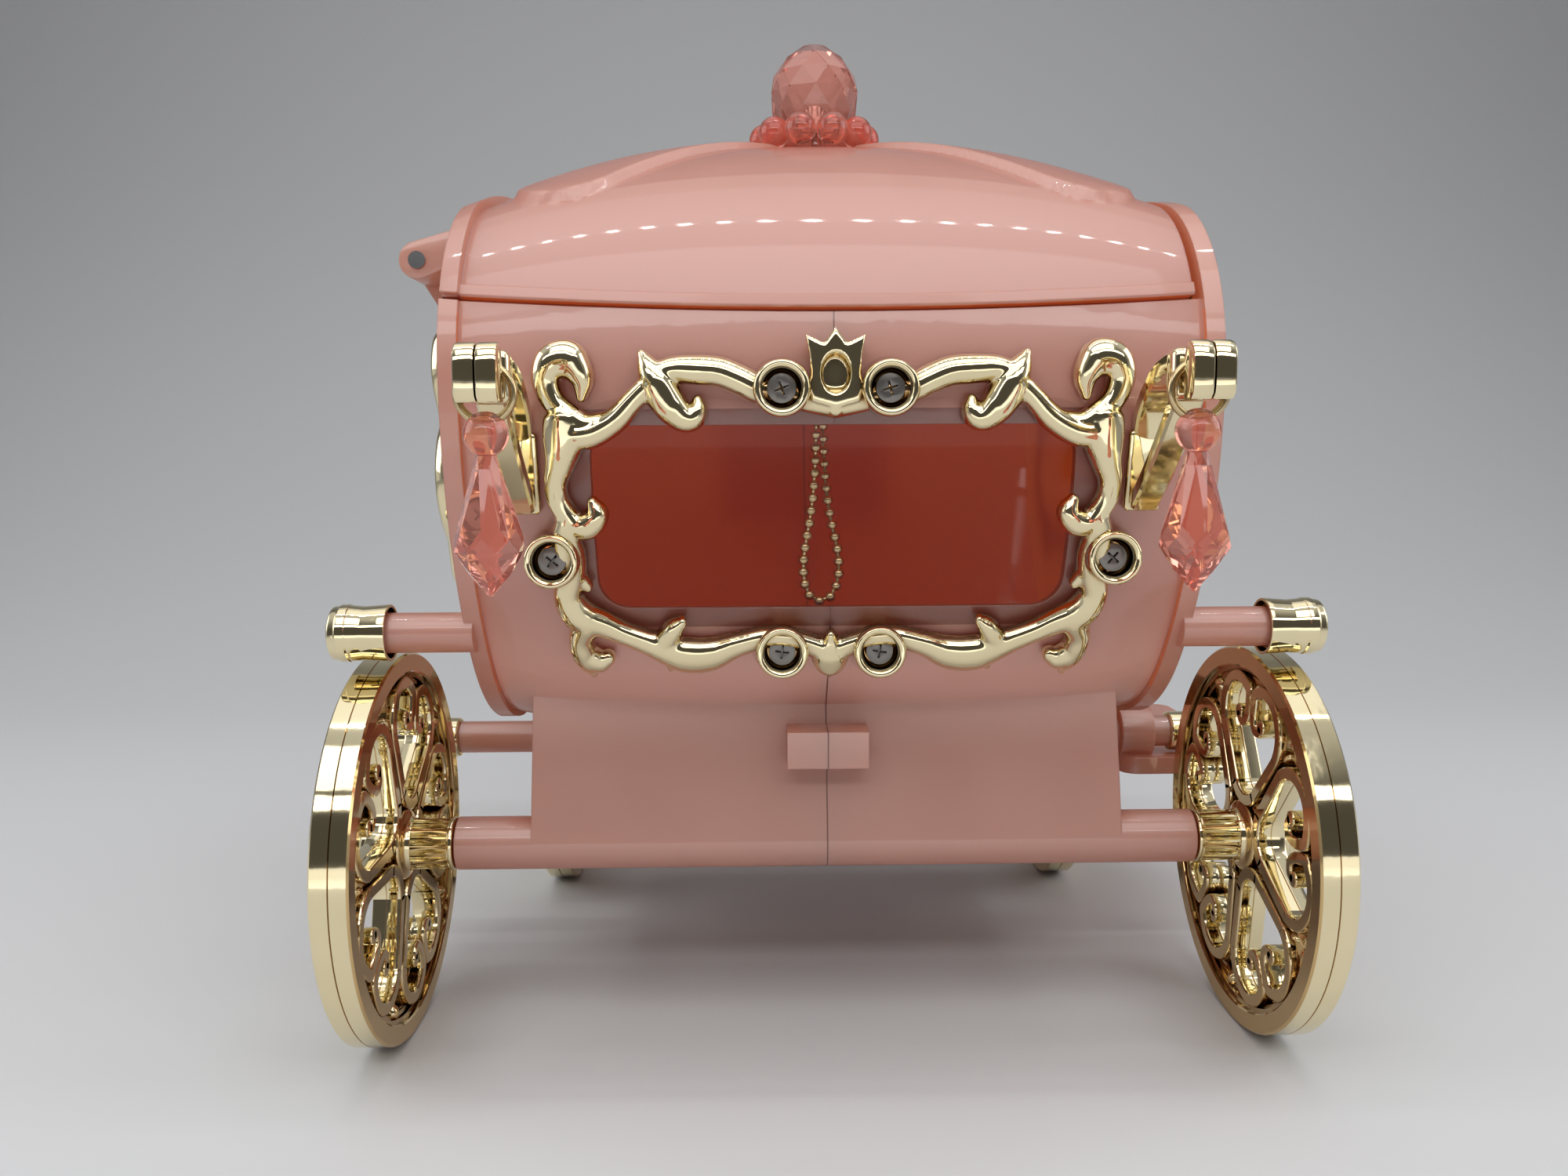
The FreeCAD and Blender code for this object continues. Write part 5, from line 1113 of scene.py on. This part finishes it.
# %% Lid
END_LIFT = 0.5
END_INSET = 0.15
HINGE = (-72.0, 140.0)
ARM_ROOT = (-61.0, 144.0)
ARM_STARTS = (-41.0, 30.0)
ARM_WIDTH = 11.0
PIN_BORE = 1.56
SEAT_Z = 167.4
SEAT_RADIUS = 8.5


def lid_end_plate():
    """Flat end of the lid on the hinge side, as thick as the cabin's rim."""
    outline = [(y + ny * END_LIFT, z + nz * END_LIFT) for y, z, ny, nz in roof_row(-HALF_WIDTH)]
    verts, faces = plate_points([outline], -HALF_WIDTH + END_INSET, RIM_EDGE, 0.3)
    return [(x, y, z) for y, z, x in verts], faces


def belt(start, end, start_radius, end_radius, steps=14):
    """Outline of two round ends joined by their common tangents."""
    way = Vector(end) - Vector(start)
    heading = math.atan2(way.y, way.x)
    lean = math.acos((start_radius - end_radius) / way.length)
    outline = []
    for centre, radius, first, last in ((start, start_radius, heading + lean, heading + 2 * math.pi - lean),
                                        (end, end_radius, heading - lean, heading + lean)):
        for step in range(steps + 1):
            a = first + (last - first) * step / steps
            outline.append((centre[0] + radius * math.cos(a), centre[1] + radius * math.sin(a)))
    return outline


def lid_knuckles():
    """Two hinge arms with a bore for the pin."""
    arms = []
    for low in ARM_STARTS:
        outlines = [belt(HINGE, ARM_ROOT, 3.0, 2.2), circle(PIN_BORE, 32, *HINGE)]
        verts, faces = plate_points(outlines, low, low + ARM_WIDTH, 0.3)
        arms.append(([(x, y, z) for x, z, y in verts], faces))
    return arms


def lid_parts():
    seat = rounded([(0.0, 163.0), (SEAT_RADIUS, 163.0), (SEAT_RADIUS, SEAT_Z), (0.0, SEAT_Z)], 0.4)
    return [lid_shell(), lid_end_plate(), lathe_points(seat, (0, 0, 0), "+Z", 64)] + lid_knuckles()


lid = finished("lid_moulding", add_parts(lid_parts()), 35, PEARL, "lid", "lid", slot="pearl_pink")
print("lid:", len(lid.data.polygons), "faces")

# %% [markdown]
# Pendants are cut from salmon acrylic. Facets are flat, so each ring of
# corners is turned half a step against the last one, and the faces between
# them stay flat-shaded triangles. A wire ring hangs each one on its bracket.

# %% Pendants
def facet_points(rings, sides, spot):
    """Closed faceted body from (height, radius, half-step turn) rings."""
    verts, faces = [], []
    for height, radius, turn in rings:
        for step in range(sides):
            a = 2 * math.pi * (step + turn) / sides
            verts.append((spot[0] + radius * math.cos(a), spot[1] + radius * math.sin(a), spot[2] + height))
    for ring in range(len(rings) - 1):
        low, high = ring * sides, (ring + 1) * sides
        shifted = rings[ring + 1][2] - rings[ring][2]
        for step in range(sides):
            ahead = (step + 1) % sides
            if abs(shifted) < 0.1:
                faces.append((low + step, low + ahead, high + ahead, high + step))
            elif shifted > 0:
                faces.append((low + step, low + ahead, high + step))
                faces.append((low + ahead, high + ahead, high + step))
            else:
                faces.append((low + step, high + ahead, high + step))
                faces.append((low + step, low + ahead, high + ahead))
    return verts, faces + end_faces(len(rings), sides)


LAMP_X = 49.5
PENDANT_Y = -92.0
NECK_Z = 115.2
RING_RADIUS = 3.9
RING_WIRE = 0.6
RING_Z = NECK_Z + 1.6 + 0.3 + RING_WIRE - RING_RADIUS
BEAD_RADIUS = 3.15
BEAD_Z = RING_Z - RING_RADIUS - 0.54 * BEAD_RADIUS
DROP_RADIUS = 4.95
DROP_LENGTH = 19.7
DROP_RINGS = ((0.0, 0.28, 0.0), (0.1, 0.40, 0.5), (0.58, 0.98, 0.0), (0.68, 0.98, 0.5), (0.84, 0.60, 0.0),
              (1.0, 0.05, 0.5))


def torus_points(radius, wire, spot, rows=72, around=14):
    """Ring of wire that stands in the X Z plane."""
    verts, faces = [], []
    for i in range(rows):
        a = 2 * math.pi * i / rows
        for j in range(around):
            b = 2 * math.pi * j / around
            reach = radius + wire * math.cos(b)
            verts.append((spot[0] + reach * math.cos(a), spot[1] + wire * math.sin(b),
                          spot[2] + reach * math.sin(a)))
    for i in range(rows):
        for j in range(around):
            a, b = i * around, ((i + 1) % rows) * around
            faces.append((a + j, b + j, b + (j + 1) % around, a + (j + 1) % around))
    return verts, faces


for side_name, side in SIDES.items():
    x = side * LAMP_X
    body = "pendant_" + side_name
    rings = [(-DROP_LENGTH * fall, DROP_RADIUS * width, turn) for fall, width, turn in DROP_RINGS]
    crystal = facet_points(rings[::-1], 8, (x, PENDANT_Y, BEAD_Z - 0.9 * BEAD_RADIUS))
    finished("pendant_crystal_" + side_name, crystal, 1, SALMON, body, "pendant_drop_" + side_name,
             slot="salmon_acrylic")
    bead = lathe_points(ball_profile(BEAD_RADIUS), (x, PENDANT_Y, BEAD_Z), "+Z", 40)
    finished("pendant_bead_" + side_name, bead, 60, SALMON, body, slot="salmon_acrylic")
    wire = torus_points(RING_RADIUS, RING_WIRE, (x, PENDANT_Y, RING_Z))
    finished("pendant_wire_" + side_name, wire, 60, BRASS, body, "pendant_ring_" + side_name, slot="brass")
print("pendant bead height:", round(BEAD_Z, 2))

# %% [markdown]
# The finial is a cut ball that sits on a ring of ten round beads. Both are
# acrylic like the pendants, held to the lid by one screw from below.

# %% Finial
BALL_BOTTOM = 170.4
FINIAL_TOP = 189.7
BALL_RADIUS = 9.3
BALL_SIDES = 10
BALL_RINGS = ((0.0, 0.55, 0.0), (0.14, 0.74, 0.5), (0.28, 0.93, 0.0), (0.48, 1.0, 0.5), (0.68, 0.90, 0.0),
              (0.86, 0.62, 0.5), (0.97, 0.30, 0.0), (1.0, 0.12, 0.5))
RING_BEADS = 10
RING_BEAD_RADIUS = 3.2
RING_BEAD_REACH = 10.3
RING_BEAD_RISE = 3.3
disc = [(0.0, 0.0), (SEAT_RADIUS, 0.0), (SEAT_RADIUS, 2.4), (8.0, 3.0), (0.0, 3.0)]
beads = [lathe_points(disc, (0, 0, SEAT_Z), "+Z", 64)]
for x, y in circle(RING_BEAD_REACH, RING_BEADS):
    beads.append(lathe_points(ball_profile(RING_BEAD_RADIUS, 16), (x, y, SEAT_Z + RING_BEAD_RISE), "+Z", 32))
finished("finial_bead_ring", add_parts(beads), 40, SALMON, "lid", "finial_ring", slot="salmon_acrylic")
span = FINIAL_TOP - BALL_BOTTOM
ball_rings = [(span * rise, BALL_RADIUS * width, turn) for rise, width, turn in BALL_RINGS]
ball = facet_points(ball_rings, BALL_SIDES, (0, 0, BALL_BOTTOM))
finished("finial_cut_ball", ball, 1, SALMON, "lid", "finial_ball", slot="salmon_acrylic")
print("finial height:", round(span, 1), "mm above its beads' disc")

# %% [markdown]
# Each lamp bracket is a gold strap that loops out of the wall and ends in two
# small cheeks with a neck between them, where the pendant ring hangs.

# %% Lamp brackets
BRACKET_HALF = 2.95
STRAP_HALF_THICK = 1.3
STRAP_INSET = 0.8
ROLL_SLIT = 0.05
FOOT_WALL_Y = -68.0
FOOT_DEPTH = 3.2
ROLL_EDGE = [(-94.4, 112.6), (-94.4, 118.4), (-94.9, 119.5), (-96.0, 120.0), (-97.1, 119.6), (-97.8, 118.6),
             (-98.0, 117.2), (-98.0, 114.4), (-97.7, 113.2), (-97.0, 112.6)]
STRAPS = [[(-68.4, 108.0), (-71.0, 112.4), (-77.0, 116.6), (-83.0, 118.2), (-87.6, 118.4)],
          [(-68.2, 97.4), (-73.0, 100.8), (-80.0, 106.4), (-87.6, 113.4)]]


def rounded_box(low, high, radius, segments=3):
    verts = [(x, y, z) for x in (low[0], high[0]) for y in (low[1], high[1]) for z in (low[2], high[2])]
    faces = [(0, 1, 3, 2), (4, 6, 7, 5), (0, 4, 5, 1), (2, 3, 7, 6), (0, 2, 6, 4), (1, 5, 7, 3)]
    mesh = bmesh.new()
    corners = [mesh.verts.new(v) for v in verts]
    for face in faces:
        mesh.faces.new([corners[i] for i in face])
    bmesh.ops.recalc_face_normals(mesh, faces=mesh.faces)
    bmesh.ops.bevel(mesh, geom=list(mesh.edges), offset=radius, segments=segments, profile=0.5,
                    affect="EDGES")
    mesh.verts.index_update()
    points = [tuple(v.co) for v in mesh.verts]
    polygons = [tuple(v.index for v in f.verts) for f in mesh.faces]
    mesh.free()
    return points, polygons


def strap_points(route, half_thick, x_low, x_high, edge=0.4):
    """Flat strap of constant width along a route in the Y Z plane."""
    line = smooth_line(route, 6)
    ring = [(x_low, -half_thick + edge), (x_low + edge, -half_thick), (x_high - edge, -half_thick),
            (x_high, -half_thick + edge), (x_high, half_thick - edge), (x_high - edge, half_thick),
            (x_low + edge, half_thick), (x_low, half_thick - edge)]
    verts = []
    for (y, z), (fy, fz) in zip(line, headings(line)):
        for x, off in ring:
            verts.append((x, y - fz * off, z + fy * off))
    ends = [face[::-1] for face in end_faces(len(line), len(ring))]
    return verts, tube_faces(len(line), len(ring)) + ends


def lamp_bracket(side):
    middle = side * LAMP_X
    x_low = middle - BRACKET_HALF
    x_high = middle + BRACKET_HALF
    parts = [rounded_box((x_low, -89.6, 112.4), (x_high, -86.0, 120.0), 1.2, 4),
             lathe_points([(1.6, -96.0), (1.6, -88.0)], (middle, 0, NECK_Z), "+Y", 32)]
    for low, high in ((x_low, middle - ROLL_SLIT), (middle + ROLL_SLIT, x_high)):
        points, polygons = plate_points([ROLL_EDGE], low, high, 0.3)
        parts.append(([(x, y, z) for y, z, x in points], polygons))
    for route in STRAPS:
        parts.append(strap_points(route, STRAP_HALF_THICK, x_low + STRAP_INSET, x_high - STRAP_INSET))
    foot_near = FOOT_WALL_Y - FOOT_DEPTH
    points, polygons = rounded_box((x_low, foot_near, 96.5), (x_high, FOOT_WALL_Y, 109.0), 0.7)
    bent = [tuple(on_wall(x, z, 0.15 + (FOOT_WALL_Y - y) / FOOT_DEPTH * 1.9)) for x, y, z in points]
    return parts + [(bent, polygons)]


for side_name, side in SIDES.items():
    finished("lamp_bracket_%s_strap" % side_name, add_parts(lamp_bracket(side)), 35, GOLD, "coach",
             "lamp_bracket_" + side_name, slot="gold_trim")
print("lamp brackets:", len(SIDES))

# %% [markdown]
# A scrolled gold frame lies on each flat side of the cabin. Only its edge can
# be seen in the photo, so its strokes are a guess in the manner of the window
# frame. It is cast and melted in the same way.

# %% Side frames
FRAME_HALF = 50.0
FRAME_LOW = 86.0
FRAME_HIGH = 116.0
FRAME_BAR = 2.3
SIDE_RELIEF = 5.0
SIDE_RISE = 2.2
SIDE_LIFT = 0.8
SIDE_VOXEL = 0.4
SIDE_SMOOTHING = 4


def side_frame(side):
    half, low, high, bar = FRAME_HALF, FRAME_LOW, FRAME_HIGH, FRAME_BAR
    middle = (low + high) / 2
    strokes = [
        [(0, high, bar), (half * 0.3, high + 0.6, bar), (half * 0.55, high - 1, bar),
         (half * 0.9, high - 5, bar), (half, middle, bar), (half * 0.86, low + 5, bar),
         (half * 0.5, low, bar), (half * 0.2, low - 1.4, bar), (0, low - 1, bar * 1.3)],
        [(half * 0.9, high - 5, bar), (half, high + 3, bar), (half * 0.97, high + 9, bar * 0.9),
         (half * 0.88, high + 10, bar * 0.8), (half * 0.85, high + 7, bar * 0.5)],
        [(half * 0.86, low + 5, bar), (half * 0.8, low - 2, bar), (half * 0.7, low - 3.0, bar * 0.7)],
        [(half * 0.55, high - 1, bar), (half * 0.42, high - 6, bar * 0.8),
         (half * 0.34, high - 5, bar * 0.6)],
    ]
    parts = [scroll(points, SIDE_RELIEF, SIDE_RISE) for points in strokes]
    points, polygons = melt("side_blank", parts + mirrored(parts), SIDE_VOXEL, SIDE_SMOOTHING)
    return [(side * (HALF_WIDTH + SIDE_LIFT + height), y, z) for y, z, height in points], polygons


for side_name, side in SIDES.items():
    finished("side_frame_%s_cast" % side_name, side_frame(side), 50, GOLD, "coach",
             "side_frame_" + side_name, slot="gold_trim")
print("side frames:", len(SIDES))

# %% [markdown]
# The lid is held by a ball chain. The route's points pull one smooth line into
# shape, the beads are spaced evenly along it, and a thin wire joins them.

# %% Lid chain
CHAIN_ROUTE = [(-2.3, -60.0, 121.5), (-2.3, -59.0, 108.0), (-2.9, -57.8, 97.0), (-4.9, -56.6, 86.5),
               (-3.6, -55.6, 80.6), (0.4, -55.0, 80.4), (2.2, -54.2, 86.5), (-0.4, -53.2, 97.0),
               (-1.0, -52.2, 110.0), (-1.0, -51.4, 124.0), (-1.0, -51.0, 138.0)]
CHAIN_BEAD = 0.95
CHAIN_STEP = 2.15
CHAIN_WIRE = 0.32


def smooth_route(points):
    """Points along a NURBS line whose control points are the route."""
    curve = bpy.data.curves.new("route", "CURVE")
    curve.dimensions = "3D"
    curve.resolution_u = 24
    spline = curve.splines.new("NURBS")
    spline.points.add(len(points) - 1)
    spline.points.foreach_set("co", [c for p in points for c in (*p, 1.0)])
    spline.order_u = 3
    spline.use_endpoint_u = True
    line, _ = baked(link(bpy.data.objects.new("route", curve)))
    return np.array(line)


def even_points(line, step):
    """Points an even step apart along a line, and the line's length."""
    gone = np.concatenate([[0], np.cumsum(np.linalg.norm(np.diff(line, axis=0), axis=1))])
    stops = np.linspace(0.0, gone[-1], int(round(gone[-1] / step)) + 1)
    return np.stack([np.interp(stops, gone, line[:, k]) for k in range(3)], axis=1), gone[-1]


def blend_by_bead(chain, points, spots):
    """Set each point's Y to its nearest bead's middle, bake the chain's placement into the mesh, and set the
    points back.
    """
    gaps = np.linalg.norm(points[:, None, :] - spots[None, :, :], axis=2)
    still = points.copy()
    still[:, 1] = spots[gaps.argmin(axis=1), 1]
    chain.data.vertices.foreach_set("co", (still * MM).ravel())
    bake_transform(chain)
    chain.data.vertices.foreach_set("co", (points * MM).ravel())
    chain.data.update()


def lid_chain():
    line = smooth_route(CHAIN_ROUTE)
    spots, length = even_points(line, CHAIN_STEP)
    parts = []
    for spot in spots:
        parts.append(lathe_points(ball_profile(CHAIN_BEAD, 12), tuple(spot), "+Z", 18))
    for a, b in zip(spots, spots[1:]):
        way = Vector(b - a)
        link_profile = [(CHAIN_WIRE, 0.0), (CHAIN_WIRE, way.length)]
        parts.append(lathe_points(link_profile, tuple(a), way.normalized(), 10))
    verts, faces = add_parts(parts)
    chain = build_mesh("lid_chain_beads", verts, faces, 60)
    chain.data.materials.append(CHAIN)
    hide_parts("lid_chain")
    blend_by_bead(chain, np.array(verts), spots)
    print("chain:", len(spots), "beads,", round(length, 1), "mm long")


lid_chain()

# %% [markdown]
# The pieces whose solids already have their finished shape keep it. They only
# need the right surface, and some get softer edges.

# %% Finishes of carried-over pieces
WELD_MM = 0.01
SOFT_ANGLE = 35


def soften(obj, width_mm):
    """Weld the solid's faces together and round the sharp edges between them."""
    weld = obj.modifiers.new("weld", "WELD")
    weld.merge_threshold = WELD_MM * MM
    bevel = obj.modifiers.new("soft_edge", "BEVEL")
    bevel.width = width_mm * MM
    bevel.segments = 3
    bevel.limit_method = "ANGLE"
    bevel.angle_limit = math.radians(SOFT_ANGLE)


def finish_node(node, material, width_mm):
    obj = bpy.data.objects[node]
    if width_mm:
        soften(obj, width_mm)
    obj.data.materials.clear()
    obj.data.materials.append(material)


NODE_FINISH = {
    "body_shell_left": (SHELL, None), "body_shell_right": (SHELL, None), "entry_step": (PEARL, 0.5),
    "coachman_bench": (PEARL, 0.5), "cabin_floor": (CABIN_FLOOR_GLOW, None), "bottom_cover": (PEARL, 0.3),
    "window_pane": (CLEAR, None), "hinge_pin": (STEEL, None), "rear_axle": (STEEL, None),
    "front_axle": (STEEL, None), "cover_screws": (DARK, None), "finial_screw": (STEEL, None),
    "chain_eye_wall": (STEEL, None), "chain_eye_lid": (STEEL, None), "movement_bedplate": (BRASS, 0.2),
    "spring_barrel": (BRASS, 0.3), "pinned_cylinder": (BRASS, 0.2), "tune_comb": (STEEL, None),
    "governor": (BRASS, None), "winding_key": (BRASS, 0.4),
}
for node, (material, width) in NODE_FINISH.items():
    finish_node(node, material, width)
print("nodes kept:", len(NODE_FINISH))
